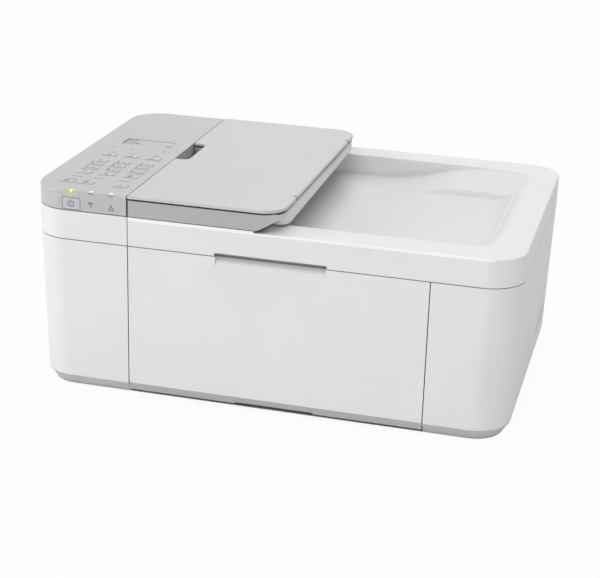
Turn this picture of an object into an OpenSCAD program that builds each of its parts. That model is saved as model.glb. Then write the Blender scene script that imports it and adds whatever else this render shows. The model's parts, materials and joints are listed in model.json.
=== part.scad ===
// All-in-one inkjet printer with a flatbed scanner, a document feeder and an operation panel.
// Millimetres. +Z is up, the front faces -Y, and the origin is on the ground under the middle.

/* [Body] */
// Width over the side covers
body_w = 435; // [425:1:460]
// Depth from the front cover to the rear cover
body_d = 295; // [290:1:320]
// Radius of the four upright corners
corner_r = 32; // [24:1:38]
// How far each side leans in from the top of the case to the base
side_taper = 3.5; // [0:0.5:6]
// Wall of the outer covers
wall = 2.5; // [2:0.1:3]
// Width of the seams between outer pieces
seam = 0.7; // [0.5:0.1:1]
// Width of the left column, which carries the operation panel
panel_w = 91.3; // [88:0.5:100]
// Width of the right column beside the front cover
column_w = 75.5; // [70:0.5:90]

/* [Heights] */
// Height of the rubber feet
foot_h = 2; // [1:0.5:4]
// Height of the grey base, feet included
base_h = 12.5; // [11:0.5:15]
// Height of the base and case together
case_h = 143.1; // [140:0.5:155]
// Height of the white rim of the document cover
rim_h = 25.1; // [24:0.5:30]
// Height of the grey feeder and of the panel above the rim
feeder_h = 20.8; // [19:0.2:24]
// Thickness of the document tray, which closes as a lid
tray_t = 3; // [2.6:0.1:3.4]

/* [Base] */
// How far the foot of the base stands in under the case
skirt_in = 6.5; // [4:0.5:8]
// Thickness of the base floor
floor_t = 3; // [2.5:0.1:4]
// Radius of a rubber foot
foot_r = 8; // [6:0.5:10]
// Depth of the paper bed's plateau above the floor
bed_t = 4; // [3.5:0.1:5]

/* [Front cover] */
// Thickness of the front cover
door_t = 3; // [2.5:0.1:3.5]
// Distance of the front cover's hinge axis behind its face
door_axis_in = 7.5; // [7.3:0.1:8]
// Radius of the front cover's hinge pins
door_pin_r = 2.4; // [2:0.1:2.6]
// Width of the finger slot above the front cover
notch_w = 100; // [80:1:120]
// Height of the finger slot above the seam
notch_h = 3.2; // [2.6:0.1:5]
// Height of the scoop that leads into the slot
scoop_h = 9; // [6:0.5:12]
// Depth of the scoop at the front cover's top edge
scoop_in = 2.4; // [1:0.1:3]

/* [Document cover] */
// Distance of the document cover's hinge axis from its back and underside
cover_axis_in = 12; // [11:0.5:13]
// Radius of the document cover's hinge pins
cover_pin_r = 3; // [2.5:0.1:3.2]
// Width of the rim to the right of the output recess
rim_right = 23.5; // [20:0.5:30]
// Width of the rim in front of the output recess
rim_front = 31; // [25:0.5:40]
// Width of the rim behind the output recess
rim_back = 27.5; // [24:0.5:35]
// Radius of the recess's right corners
recess_r = 20; // [14:1:26]
// Depth of the recess at its left end, below the rim
recess_deep = 21.2; // [19:0.2:21.6]
// Depth of the recess at its right end, below the rim
recess_shallow = 7.2; // [5:0.2:9]

/* [Document feeder] */
// Width of the feeder and its tray
feeder_w = 138.4; // [130:0.5:142]
// Radius of the feeder's right corners
feeder_r = 21; // [15:1:26]
// Width of the white strip behind the feeder and the panel
back_strip = 15.5; // [13:0.5:18]
// Rise of the feeder's undercut right side
undercut_h = 10.7; // [8:0.2:11]
// Radius of the tray's hinge bead
bead_r = 2; // [1.8:0.1:2.3]
// Radius of the tray's hinge pins
tray_pin_r = 0.8; // [0.6:0.05:0.9]
// Radius of the feeder's separation roller
adf_roller_r = 6; // [5:0.1:6.4]

/* [Operation panel] */
// How far the keys stand above the panel
key_proud = 0.5; // [0.3:0.1:0.8]
// Travel of every key
key_travel = 0.8; // [0.5:0.1:0.9]
// Clearance round a key
key_gap = 0.3; // [0.25:0.05:0.4]
// Width of a keypad key
key_w = 15; // [12:0.5:16]
// Depth of a keypad key
key_d = 7.6; // [6:0.2:8.4]
// Width of the display window
lcd_w = 50.5; // [45:0.5:56]
// Depth of the display window
lcd_d = 20.5; // [16:0.5:24]
// Width of the power button
power_w = 16.4; // [14:0.2:18]
// Height of the power button
power_h = 10.4; // [9:0.2:11]

/* [Paper path] */
// Room between the widest sheet and the walls of the print frame
paper_side = 15.6; // [12:0.2:20]
// Travel of each paper guide along its slot
guide_travel = 57; // [40:1:60]
// Radius of the feed roller
feed_r = 20; // [18:0.5:21]
// Radius of the feed roller's shaft
feed_shaft_r = 4; // [3:0.1:4.5]
// Radius of the exit roller
exit_r = 5.5; // [5:0.1:5.8]
// Radius of the exit roller's shaft
exit_shaft_r = 2.5; // [2:0.1:3]
// Radial clearance of every shaft and pin
run_gap = 0.05; // [0.02:0.01:0.08]
// Share of the room under the scanner that the paper and its deck take
deck_share = 0.453; // [0.42:0.001:0.46]

/* [Print carriage] */
// Width of the print carriage
carriage_w = 88; // [84:1:92]
// Radius of the carriage's guide rod
rod_r = 4; // [3:0.1:4.5]
// Width of an ink cartridge
cartridge_w = 38; // [34:0.5:39]

/* [Scanner] */
// Depth of the scanner unit inside the top of the case
scanner_h = 37; // [36:0.5:38]
// Distance of the platen glass from the case's right side
glass_side = 12.5; // [11:0.5:16]
// Depth of the platen glass
glass_d = 226; // [220:1:230]
// Thickness of the platen glass
glass_t = 3; // [2.5:0.1:3]
// Width of the scan bar
bar_w = 20; // [16:0.5:22]
// Radius of the scan bar's rail
scan_rail_r = 3; // [2.5:0.1:3.5]

/* [Hidden] */
$fn = 64;
hull_fn = 32;
eps = 0.01;

// Outer faces
left = -body_w / 2;
right = body_w / 2;
front = -body_d / 2;
back = body_d / 2;
half_seam = seam / 2;

// Seams that run down the front
seam_l = left + panel_w;
seam_r = right - column_w;

// Levels
rim_z = case_h + rim_h;
top_z = rim_z + feeder_h;
plinth_h = 1.4;
grey_z = rim_z + plinth_h + seam;
floor_z = foot_h + floor_t;
bed_z = floor_z + bed_t;
tray_z = top_z - tray_t;
scan_z = case_h - scanner_h;
plate_z = case_h - seam;

// Front cover
door_l = seam_l + half_seam;
door_r = seam_r - half_seam;
door_inner = front + door_t;
door_axis_y = front + door_axis_in;
door_axis_z = base_h - 0.5;
door_ear_r = door_axis_in - door_t - 0.3;
door_lug_w = 5;
door_ear_w = 6;
door_boss_w = 8;
door_ear_in = door_lug_w + 1;
strip_r = door_axis_z - foot_h - 2.2;
strip_rise = 2;
lip_h = 1;
notch_x = -notch_w / 2 + 3;
scoop_wall = 2;

// Document cover
cover_axis_y = back - cover_axis_in;
cover_axis_z = case_h + half_seam + cover_axis_in;
cover_ear_r = 5.5;
cover_ear_w = 8;
cover_ears_x = [seam_l + 66, right - 66];
recess_l = seam_l + 80;
recess_r_x = right - rim_right;
recess_front = front + rim_front;
recess_back = back - rim_back;
floor_x = [recess_l + 40, recess_r_x - 26];
floor_rise = recess_deep - recess_shallow;
end_x = recess_r_x - 4;
ledge_y = recess_back - 72;
ledge_x = [recess_l + 84, recess_r_x - 44];
ledge_rise = floor_rise + 3;
ledge_tilt = 1.8;
cover_wall = wall;
pad_plate_t = 1;

// Document feeder
feeder_l = seam_l + half_seam;
feeder_r_x = feeder_l + feeder_w;
feeder_back = back - back_strip;
tray_axis_x = feeder_r_x - bead_r;
tray_axis_z = top_z - bead_r;
tray_ear_w = 4;
tray_ear_r = bead_r - 0.6;
tray_ears_y = [front + 46, feeder_back - 40];
lid_gap = 1.2;
feeder_top = tray_z - lid_gap;
well_z = grey_z + 4.5;
well_l = feeder_l + 32;
well_r = feeder_r_x - 16;
well_front = front + 22;
well_back = feeder_back - 22;
adf_roller_x = well_l + 9;
adf_roller_z = well_z + 2.6;
doc_blade_t = 2;
doc_side = 9.25;

// Operation panel
panel_top = top_z - key_proud;
panel_r = seam_l - half_seam;
skin = 2.5;
bevel_w = 1.4;
bevel_h = 2;
panel_fn = 96;
flange = 1;
flange_t = 1.4;
board_t = 1.6;
cap_r = 1.2;
lens_w = 4.2;
lens_h = 2.9;
lens_d = 4.9;
lens_play = 0.1;
board_z = panel_top - skin - flange_t - key_travel - 3 - board_t;
panel_ribs = [front + 45, front + 105, front + 172];
key_cols = [left + 29.5, left + 50.5, left + 73];
keypad_y = [front + 94, front + 82, front + 68.5, front + 55.5];
nav_y = front + 115.5;
start_y = front + 25.5;
lcd_x = left + 51.3;
lcd_y = front + 165.3;
power_x = left + 39.5;
power_z = grey_z + 1 + power_h / 2;
lamps_x = [power_x, left + 57.9, left + 76];

// Screws
screw_r = 1.5;
screw_head_r = 3;
screw_head_t = 1.4;

// Print frame and paper path
frame_t = 3;
foot_w = 12;
frame_l = seam_l + 7.5;
frame_r = seam_r - 7.5;
frame_front = front + 28;
frame_back = back - 56;
frame_top = bed_z + deck_share * (scan_z - bed_z);
paper_x = (frame_l + frame_r) / 2;
paper_w = frame_r - frame_l - 2 * (frame_t + paper_side);
deck_z = frame_top - 3;
deck_t = 3;
feed_y = back - 85.5;
feed_z = bed_z + feed_r + 3;
exit_y = front + 113.5;
exit_z = deck_z + 0.5 - exit_r;
turn_gap = 3;
extension_t = 3;
extension_z = deck_z - deck_t - 0.4 - extension_t;
extension_front = front + 54;
extension_back = exit_y - exit_r - 1.5;
ledge_t = 3;
tyre_w = 24;
exit_tyre_w = 10;
feed_pulley_r = 14;
exit_pulley_r = 5;
belt_t = 1.2;
belt_gap = 0.1;

// Inner cover over the cartridges
inner_t = 3;
inner_y = front + 94;
inner_z = frame_top + 7;
inner_pin_r = 2;
inner_top = scan_z - 6;

// Paper guides
guide_t = 2;
guide_h = 26;
guide_front = front + 40;
guide_len = 120;
slot_in = 50;
slot_y = guide_front + slot_in;
slot_w = 8;

// Carriage
car_z = frame_top + 7;
car_r = right - 11.5;
car_l = car_r - carriage_w;
car_in = 119.5;
car_front = front + car_in;
car_wall = 2;
car_d = 38;
car_back = car_front + car_d;
car_h = 28;
rod_y = car_back + 8.5;
rod_z = car_z + 12;
bay_w = (carriage_w - 3 * car_wall) / 2;
latch_y = car_back - 4.5;
latch_z = car_z + 32;
latch_pin_r = 1.5;
rail_l = seam_l + 4;
rail_r = right - 6;
rail_y = rod_y + 25;
rail_t = 2;
drive_z = car_z + 24;
drive_y = rod_y + 13;
drive_r = 7;
motor_r = 13;
motor_len = 34;
motor_x = rail_r - 22;
idler_x = rail_l + 16;

// Scanner
tub_l = seam_l + 2;
tub_r = right - 6.5;
tub_front = front + 16.5;
tub_back = back - 19.5;
strip_glass_w = 12;
strip_glass_x = tub_l + 5;
glass_gap = 6.2;
glass_l_x = strip_glass_x + strip_glass_w + glass_gap;
glass_r_x = right - glass_side;
rail_seat_t = 5;
bar_l = tub_l + wall + rail_seat_t + 0.5;
bar_top = plate_z - glass_t - 1;
scan_rail_z = scan_z + 9;

// Rear sockets
usb_x = left + 40;
usb_z = base_h + 40;
jack_z = base_h + 22;
inlet_x = right - 40;
inlet_z = base_h + 22;

// ---------------------------------------------------------------- shapes

// Block between two corners
module block(lo, hi) {
    translate(lo) cube(hi - lo);
}

// Rounded outline between two corners; r holds the front left, front right, back right and back left radii
module outline(lo, hi, r) {
    difference() {
        translate(lo) square(hi - lo);
        translate(lo) corner_bite(r[0]);
        translate([hi[0], lo[1]]) rotate(90) corner_bite(r[1]);
        translate(hi) rotate(180) corner_bite(r[2]);
        translate([lo[0], hi[1]]) rotate(270) corner_bite(r[3]);
    }
}

// What a rounded corner takes off a square one
module corner_bite(r) {
    if (r > 0) {
        difference() {
            translate([-1, -1]) square(r + 1);
            translate([r, r]) circle(r);
        }
    }
}

// Upright slab with that outline
module slab(lo, hi, r) {
    translate([0, 0, lo[2]]) linear_extrude(hi[2] - lo[2]) outline([lo[0], lo[1]], [hi[0], hi[1]], r);
}

// Round bar along X
module bar_x(x0, x1, y, z, r) {
    translate([x0, y, z]) rotate([0, 90, 0]) cylinder(h = x1 - x0, r = r);
}

// Round bar along Y
module bar_y(y0, y1, x, z, r) {
    translate([x, y0, z]) rotate([-90, 0, 0]) cylinder(h = y1 - y0, r = r);
}

// Profile given as [x, z] points, drawn along Y
module along_y(y0, y1, points) {
    translate([0, y1, 0]) rotate([90, 0, 0]) linear_extrude(y1 - y0) polygon(points);
}

// Profile given as [y, z] points, drawn along X
module along_x(x0, x1, points) {
    translate([x0, 0, 0]) rotate([90, 0, 90]) linear_extrude(x1 - x0) polygon(points);
}

// Block with round corners between two levels,
// each [z, inset of the sides, inset of front and back, radius]
module tapered_block(low, high) {
    hull() {
        for (level = [low, high]) {
            for (sx = [-1, 1], sy = [-1, 1]) {
                r = level[3];
                translate([sx * (right - level[1] - r), sy * (back - level[2] - r), level[0]])
                    cylinder(h = eps, r = r, $fn = hull_fn);
            }
        }
    }
}

// ---------------------------------------------------------------- base

module base_pan() {
    color("#a9abad") difference() {
        union() {
            difference() {
                tapered_block([foot_h, side_taper + skirt_in, skirt_in, corner_r - skirt_in],
                    [base_h - eps, side_taper, 0, corner_r]);
                pan_hollow();
                front_cut();
            }
            paper_bed();
            door_ears();
        }
        at_frame_screws() {
            translate([0, 0, foot_h - 1]) cylinder(h = floor_t + 2, r = screw_r + run_gap);
            translate([0, 0, foot_h - 1]) cylinder(h = screw_head_t + 1, r = screw_head_r + 0.3);
        }
        bar_x(door_l - 1, door_r + 1, door_axis_y, door_axis_z, door_pin_r + run_gap);
    }
}

// Room inside the pan, over its floor
module pan_hollow() {
    in = skirt_in + wall + 1;
    slab([left + side_taper + in, front + in, floor_z], [right - side_taper - in, back - in, base_h + 1],
        [20, 20, 20, 20]);
}

// Room in front for the front cover and its strip; a thin lip stays below
module front_cut() {
    block([seam_l, front - 1, foot_h + lip_h], [seam_r, door_axis_y + strip_r + 0.4, base_h + 1]);
}

// Plateau that the paper lies on, with the guides' slots
module paper_bed() {
    difference() {
        block([frame_l + frame_t + 2, door_axis_y + strip_r + 0.6, floor_z - eps],
            [frame_r - frame_t - 2, feed_y - feed_r - 4, bed_z]);
        for (side = [-1, 1]) {
            x0 = paper_x + side * (paper_w / 2 + slot_w);
            x1 = paper_x + side * (paper_w / 2 - guide_travel - 2);
            block([min(x0, x1), slot_y, floor_z + 1], [max(x0, x1), slot_y + slot_w, bed_z + 1]);
        }
        at_frame_screws() block([-foot_w / 2 - 0.3, -foot_w / 2 - 0.3, floor_z],
            [foot_w / 2 + 0.3, foot_w / 2 + 0.3, bed_z + 1]);
    }
}

// Places of the four screws that hold the print frame on the base
module at_frame_screws() {
    for (x = [frame_l + 8, frame_r - 8], y = [frame_front + 30, frame_back - 12]) {
        translate([x, y, 0]) children();
    }
}

// Ears that carry the front cover's hinge pins
module door_ears() {
    post_y = door_axis_y + strip_r + 0.6;
    for (x = door_ears_x()) {
        bar_x(x, x + door_ear_w, door_axis_y, door_axis_z, door_ear_r);
        block([x, door_axis_y, door_axis_z - 1.5],
            [x + door_ear_w, post_y + 3, door_axis_z + door_ear_r]);
        block([x, post_y, floor_z - eps], [x + door_ear_w, post_y + 3, door_axis_z]);
    }
}

// Left ends of the two ears
function door_ears_x() = [door_l + door_ear_in, door_r - door_ear_in - door_ear_w];

module rubber_feet() {
    color("#3a3a3c") for (x = [left + 34, right - 34], y = [front + 30, back - 30]) {
        translate([x, y, 0]) cylinder(h = foot_h, r = foot_r);
    }
}

// ---------------------------------------------------------------- case covers

// Leaning shell of the whole case; the side covers and the rear cover are cut from it
module case_shell() {
    difference() {
        tapered_block([base_h, side_taper, 0, corner_r], [case_h - half_seam - eps, 0, 0, corner_r]);
        tapered_block([base_h - 1, side_taper + wall, wall, corner_r - wall],
            [case_h + 1, wall, wall, corner_r - wall]);
    }
}

module left_side_cover() {
    color("#f2f3f4") difference() {
        union() {
            intersection() {
                case_shell();
                block([left - 1, front - 1, base_h], [panel_r, back + 1, case_h]);
            }
            block([panel_r - 2, front + 1, base_h], [panel_r, front + 22, scan_z - 2]);
        }
        // Sockets in the rear wall
        block([usb_x - 7, back - wall - 2, usb_z - 6.5], [usb_x + 7, back + 1, usb_z + 6.5]);
        for (x = [usb_x - 1, usb_x + 18]) {
            block([x - 6.5, back - wall - 2, jack_z - 6], [x + 6.5, back + 1, jack_z + 6]);
        }
        side_vents(left);
    }
}

module right_side_cover() {
    color("#f2f3f4") difference() {
        union() {
            intersection() {
                case_shell();
                block([seam_r + half_seam, front - 1, base_h], [right + 1, back + 1, case_h]);
            }
            block([seam_r + half_seam, front + 1, base_h],
                [seam_r + half_seam + 2, front + 22, scan_z - 2]);
        }
        block([inlet_x - 14, back - wall - 2, inlet_z - 10], [inlet_x + 14, back + 1, inlet_z + 10]);
        side_vents(right);
    }
}

// Row of slots low in a side cover, towards the rear
module side_vents(x) {
    for (i = [0:7]) {
        block([x - 12, back - 100 + i * 8, base_h + 14], [x + 12, back - 96.5 + i * 8, base_h + 34]);
    }
}

module rear_cover() {
    color("#f2f3f4") difference() {
        intersection() {
            case_shell();
            block([door_l, back - 20, base_h], [door_r, back + 1, case_h]);
        }
        // Shallow panel and its row of vents
        block([seam_l + 40, back - 0.8, base_h + 22], [seam_r - 40, back + 1, base_h + 92]);
        pitch = (seam_r - seam_l - 2 * 52 - 4) / 13;
        for (i = [0:13]) {
            block([seam_l + 52 + i * pitch, back - wall - 1, base_h + 60],
                [seam_l + 56 + i * pitch, back, base_h + 84]);
        }
        for (x = [seam_l + 16, seam_r - 16], z = [base_h + 12, case_h - 18]) {
            bar_y(back - wall - 1, back + 1, x, z, screw_r + run_gap);
            bar_y(back - screw_head_t, back + 1, x, z, screw_head_r + 0.3);
        }
    }
}

module housing_screws() {
    color("#8f9296") {
        at_frame_screws() {
            translate([0, 0, foot_h]) cylinder(h = screw_head_t, r = screw_head_r);
            translate([0, 0, foot_h + screw_head_t - eps])
                cylinder(h = bed_z - foot_h - screw_head_t - 0.5, r = screw_r);
        }
        for (x = [seam_l + 16, seam_r - 16], z = [base_h + 12, case_h - 18]) {
            bar_y(back - screw_head_t, back - 0.2, x, z, screw_head_r);
            bar_y(back - 9, back - screw_head_t + eps, x, z, screw_r);
        }
    }
}

// ---------------------------------------------------------------- scanner

module scanner_frame() {
    color("#e4e6e8") difference() {
        union() {
            // Top plate
            slab([left + wall + 0.3, front + 3.9, plate_z - 3],
                [right - wall - 0.3, back - wall - 0.3, plate_z],
                [corner_r - wall - 0.6, corner_r - wall - 0.6,
                    corner_r - wall - 0.3, corner_r - wall - 0.3]);
            // Tub
            difference() {
                slab([tub_l, tub_front, scan_z], [tub_r, tub_back, plate_z - 1], [6, 20, 20, 6]);
                slab([tub_l + wall, tub_front + wall, scan_z + wall],
                    [tub_r - wall, tub_back - wall, plate_z - 3],
                    [4, 18, 18, 4]);
            }
            // Seats of the scan rail
            for (x = [tub_l + wall - eps, tub_r - wall - rail_seat_t + eps]) {
                block([x, -7, scan_z + 1], [x + rail_seat_t, 7, scan_rail_z + 6]);
            }
            // Hinge ears of the document cover
            for (x = cover_ears_x) {
                bar_x(x, x + cover_ear_w, cover_axis_y, cover_axis_z, cover_ear_r);
                block([x, cover_axis_y - cover_ear_r, plate_z - 1],
                    [x + cover_ear_w, cover_axis_y + cover_ear_r, cover_axis_z]);
            }
        }
        // Windows with a step for the glass
        window(glass_l_x, glass_r_x);
        window(strip_glass_x, strip_glass_x + strip_glass_w);
        // Finger room behind the front cover's notch
        block([notch_x - 3, front, case_h - scoop_h - 5],
            [notch_x + notch_w + 3, front + 12, case_h + 1]);
        for (x = cover_ears_x) {
            bar_x(x - 1, x + cover_ear_w + 1, cover_axis_y, cover_axis_z, cover_pin_r + run_gap);
        }
        bar_x(tub_l + wall + 1, tub_r - wall - 1, 0, scan_rail_z, scan_rail_r);
    }
}

// Opening for a strip of glass, with the step that the glass lies on
module window(x0, x1) {
    block([x0, -glass_d / 2, plate_z - glass_t + 0.3], [x1, glass_d / 2, plate_z + 1]);
    block([x0 + 2, -glass_d / 2 + 3, plate_z - 5], [x1 - 2, glass_d / 2 - 3, plate_z]);
}

module platen_glass() {
    color("#b9ced4", 0.5) for (x = [[glass_l_x, glass_r_x],
        [strip_glass_x, strip_glass_x + strip_glass_w]]) {
        block([x[0] + 0.1, -glass_d / 2 + 0.1, plate_z - glass_t + 0.3],
            [x[1] - 0.1, glass_d / 2 - 0.1, plate_z - 0.3]);
    }
}

module scan_rail() {
    color("#c8ccd0") bar_x(tub_l + wall + 1, tub_r - wall - 1, 0, scan_rail_z, scan_rail_r);
}

module scan_bar() {
    color("#2c2d30") difference() {
        union() {
            // Trough with the lens array in its mouth
            block([bar_l, -glass_d / 2 + 4, bar_top - 13], [bar_l + bar_w, glass_d / 2 - 4, bar_top]);
            block([bar_l, -9, scan_rail_z - 6], [bar_l + bar_w, 9, bar_top - 12]);
        }
        block([bar_l + 3, -glass_d / 2 + 7, bar_top - 3],
            [bar_l + bar_w - 3, glass_d / 2 - 7, bar_top + 1]);
        bar_x(bar_l - 1, bar_l + bar_w + 1, 0, scan_rail_z, scan_rail_r + run_gap);
    }
}

// ---------------------------------------------------------------- left column top

module panel_housing() {
    color("#f2f3f4") {
        difference() {
            union() {
                slab([left, front, case_h + half_seam],
                    [panel_r, back, rim_z], [corner_r, 0, 0, corner_r]);
                slab([left, front, rim_z - 1],
                    [panel_r, feeder_back, rim_z + plinth_h], [corner_r, 0, 0, corner_r]);
            }
            slab([left + wall, front + wall, case_h - 1], [panel_r - wall, back - wall, rim_z - wall],
                [corner_r - wall, 0, 0, corner_r - wall]);
        }
        // Inner ribs that stand on the scanner's plate
        for (y = [front + 40, front + 150, back - 40]) {
            block([left + 8, y, plate_z], [panel_r - 8, y + 2, rim_z - wall + eps]);
        }
    }
}

module operation_panel() {
    color("#c9cbcd") difference() {
        union() {
            panel_form();
            // Feet on the housing's deck
            for (y = panel_ribs) {
                block([left + 20, y, grey_z - seam], [panel_r - 20, y + 2, grey_z + eps]);
            }
        }
        // Hollow between the cross ribs that carry the board
        difference() {
            slab([left + wall, front + wall, grey_z - 2 * seam],
                [panel_r - wall, feeder_back - wall, panel_top - skin],
                [corner_r - wall, 0, 0, corner_r - wall]);
            for (y = panel_ribs) {
                block([left, y, grey_z - 3 * seam], [panel_r, y + 2, board_z]);
            }
        }
        for (k = [0:11]) {
            key_hole(key_cols[k % 3], keypad_y[floor(k / 3)], key_w, key_d);
        }
        for (x = key_cols) {
            key_hole(x, nav_y, key_w, key_d);
        }
        for (x = start_cols()) {
            key_hole(x, start_y, key_w, key_d);
        }
        // Display, power button and lamps
        slab([lcd_x - lcd_w / 2, lcd_y - lcd_d / 2, panel_top - skin - 1],
            [lcd_x + lcd_w / 2, lcd_y + lcd_d / 2, panel_top + 1], [1, 1, 1, 1]);
        block([power_x - power_w / 2 - key_gap, front - 1, power_z - power_h / 2 - key_gap],
            [power_x + power_w / 2 + key_gap, front + wall + 1, power_z + power_h / 2 + key_gap]);
        for (x = lamps_x) {
            lamp_hole(x);
        }
    }
}

// Outer form of the panel: its outer top edges are bevelled, the seam side is not
module panel_form() {
    hull() {
        for (level = [[grey_z, 0], [panel_top - bevel_h - eps, 0], [panel_top - eps, bevel_w]]) {
            r = corner_r - level[1];
            for (y = [front + corner_r, feeder_back - corner_r]) {
                translate([left + corner_r, y, level[0]]) cylinder(h = eps, r = r, $fn = panel_fn);
            }
            block([panel_r - eps, front + level[1], level[0]],
                [panel_r, feeder_back - level[1], level[0] + eps]);
        }
    }
}

// Columns of the black start, colour start and stop keys
function start_cols() = [key_cols[0] - 4.5, key_cols[1] - 7.5, key_cols[2] + 2];

module key_hole(x, y, w, d) {
    slab([x - w / 2 - key_gap, y - d / 2 - key_gap, panel_top - skin - 1],
        [x + w / 2 + key_gap, y + d / 2 + key_gap, panel_top + 1], all_round(cap_r + key_gap));
}

// Opening for a light guide at the front edge of the panel's top
module lamp_hole(x) {
    block([x - lens_w / 2 - lens_play, front, panel_top - lens_h - lens_play],
        [x + lens_w / 2 + lens_play, front + lens_d + lens_play, panel_top + 1]);
}

module lcd_window() {
    color("#9aa39c") slab([lcd_x - lcd_w / 2 + 0.1, lcd_y - lcd_d / 2 + 0.1, panel_top - skin],
        [lcd_x + lcd_w / 2 - 0.1, lcd_y + lcd_d / 2 - 0.1, panel_top - 0.2], [0.9, 0.9, 0.9, 0.9]);
}

module indicator_lenses() {
    color("#dfe6c8") intersection() {
        for (x = lamps_x) {
            block([x - lens_w / 2, front - 1, panel_top - lens_h],
                [x + lens_w / 2, front + lens_d, panel_top + 1]);
        }
        panel_form();
    }
}

module panel_board() {
    color("#3f6b4a") difference() {
        block([left + 20, front + 16, board_z], [panel_r - 5, front + 180, board_z + board_t]);
        // Room at the front corner for the power button's plunger
        block([left + 10, front + 10, board_z - 1], [left + 27, front + 30, board_z + 4]);
    }
}

function all_round(r) = [r, r, r, r];

// Key cap with a flange under the panel's skin
module key(x, y, w, d) {
    color("#d6d8da") {
        slab([x - w / 2, y - d / 2, panel_top - skin - 1],
            [x + w / 2, y + d / 2, top_z], all_round(cap_r));
        slab([x - w / 2 - flange, y - d / 2 - flange, panel_top - skin - 0.1 - flange_t],
            [x + w / 2 + flange, y + d / 2 + flange, panel_top - skin - 0.1], all_round(cap_r));
        translate([x, y, board_z + board_t + key_travel + 0.2])
            cylinder(h = panel_top - skin - 1 - board_z - board_t - key_travel - 0.2, r = 2);
    }
}

module pad_key(k) {
    key(key_cols[k % 3], keypad_y[floor(k / 3)], key_w, key_d);
}

module key_1() { pad_key(0); }
module key_2() { pad_key(1); }
module key_3() { pad_key(2); }
module key_4() { pad_key(3); }
module key_5() { pad_key(4); }
module key_6() { pad_key(5); }
module key_7() { pad_key(6); }
module key_8() { pad_key(7); }
module key_9() { pad_key(8); }
module key_star() { pad_key(9); }
module key_0() { pad_key(10); }
module key_hash() { pad_key(11); }
module left_key() { key(key_cols[0], nav_y, key_w, key_d); }
module ok_key() { key(key_cols[1], nav_y, key_w, key_d); }
module right_key() { key(key_cols[2], nav_y, key_w, key_d); }
module black_start_key() { key(start_cols()[0], start_y, key_w, key_d); }
module colour_start_key() { key(start_cols()[1], start_y, key_w, key_d); }
module stop_key() { key(start_cols()[2], start_y, key_w, key_d); }

module power_button() {
    color("#d6d8da") {
        block([power_x - power_w / 2, front, power_z - power_h / 2],
            [power_x + power_w / 2, front + wall + 1, power_z + power_h / 2]);
        block([power_x - power_w / 2 - flange, front + wall + 0.1, power_z - power_h / 2 - 0.2],
            [power_x + power_w / 2 + flange, front + wall + 1.6, power_z + power_h / 2 + flange]);
    }
}

// ---------------------------------------------------------------- electronics

module main_board() {
    color("#3f6b4a") {
        block([left + 22, back - 130, base_h + 12], [left + 24, back - 7, base_h + 92]);
        // Stand-offs on the pan's floor
        for (y = [back - 120, back - 40]) {
            block([left + 22, y, floor_z], [left + 24, y + 8, base_h + 12 + eps]);
        }
    }
    color("#c2c5c8") difference() {
        block([usb_x - 6, back - 18, usb_z - 5.5], [usb_x + 6, back - 0.6, usb_z + 5.5]);
        block([usb_x - 4.5, back - 12, usb_z - 4], [usb_x + 4.5, back + 1, usb_z + 4]);
    }
    color("#2f3033") for (x = [usb_x - 1, usb_x + 18]) {
        difference() {
            block([x - 6, back - 16, jack_z - 5.5], [x + 6, back - 0.6, jack_z + 5.5]);
            block([x - 4.2, back - 12, jack_z - 3.6], [x + 4.2, back + 1, jack_z + 3.6]);
        }
    }
    color("#3f6b4a") {
        block([left + 24 - eps, back - 16, usb_z - 3], [usb_x - 6 + eps, back - 8, usb_z + 3]);
        block([left + 24 - eps, back - 16, jack_z - 7], [usb_x + 24, back - 6, jack_z - 5.5 + eps]);
    }
}

module power_supply() {
    color("#2f3033") difference() {
        union() {
            block([seam_r + 14, back - 92, floor_z], [right - 17, back - 22, floor_z + 42]);
            block([inlet_x - 13.5, back - 23, inlet_z - 9.5],
                [inlet_x + 13.5, back - 0.6, inlet_z + 9.5]);
        }
        // Figure-of-eight mains inlet
        for (s = [-1, 1]) {
            bar_y(back - 14, back + 1, inlet_x + s * 4.3, inlet_z, 5);
        }
    }
    color("#c8ccd0") for (s = [-1, 1]) {
        bar_y(back - 15, back - 4, inlet_x + s * 4.3, inlet_z, 1.2);
    }
}

// ---------------------------------------------------------------- print engine

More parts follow.
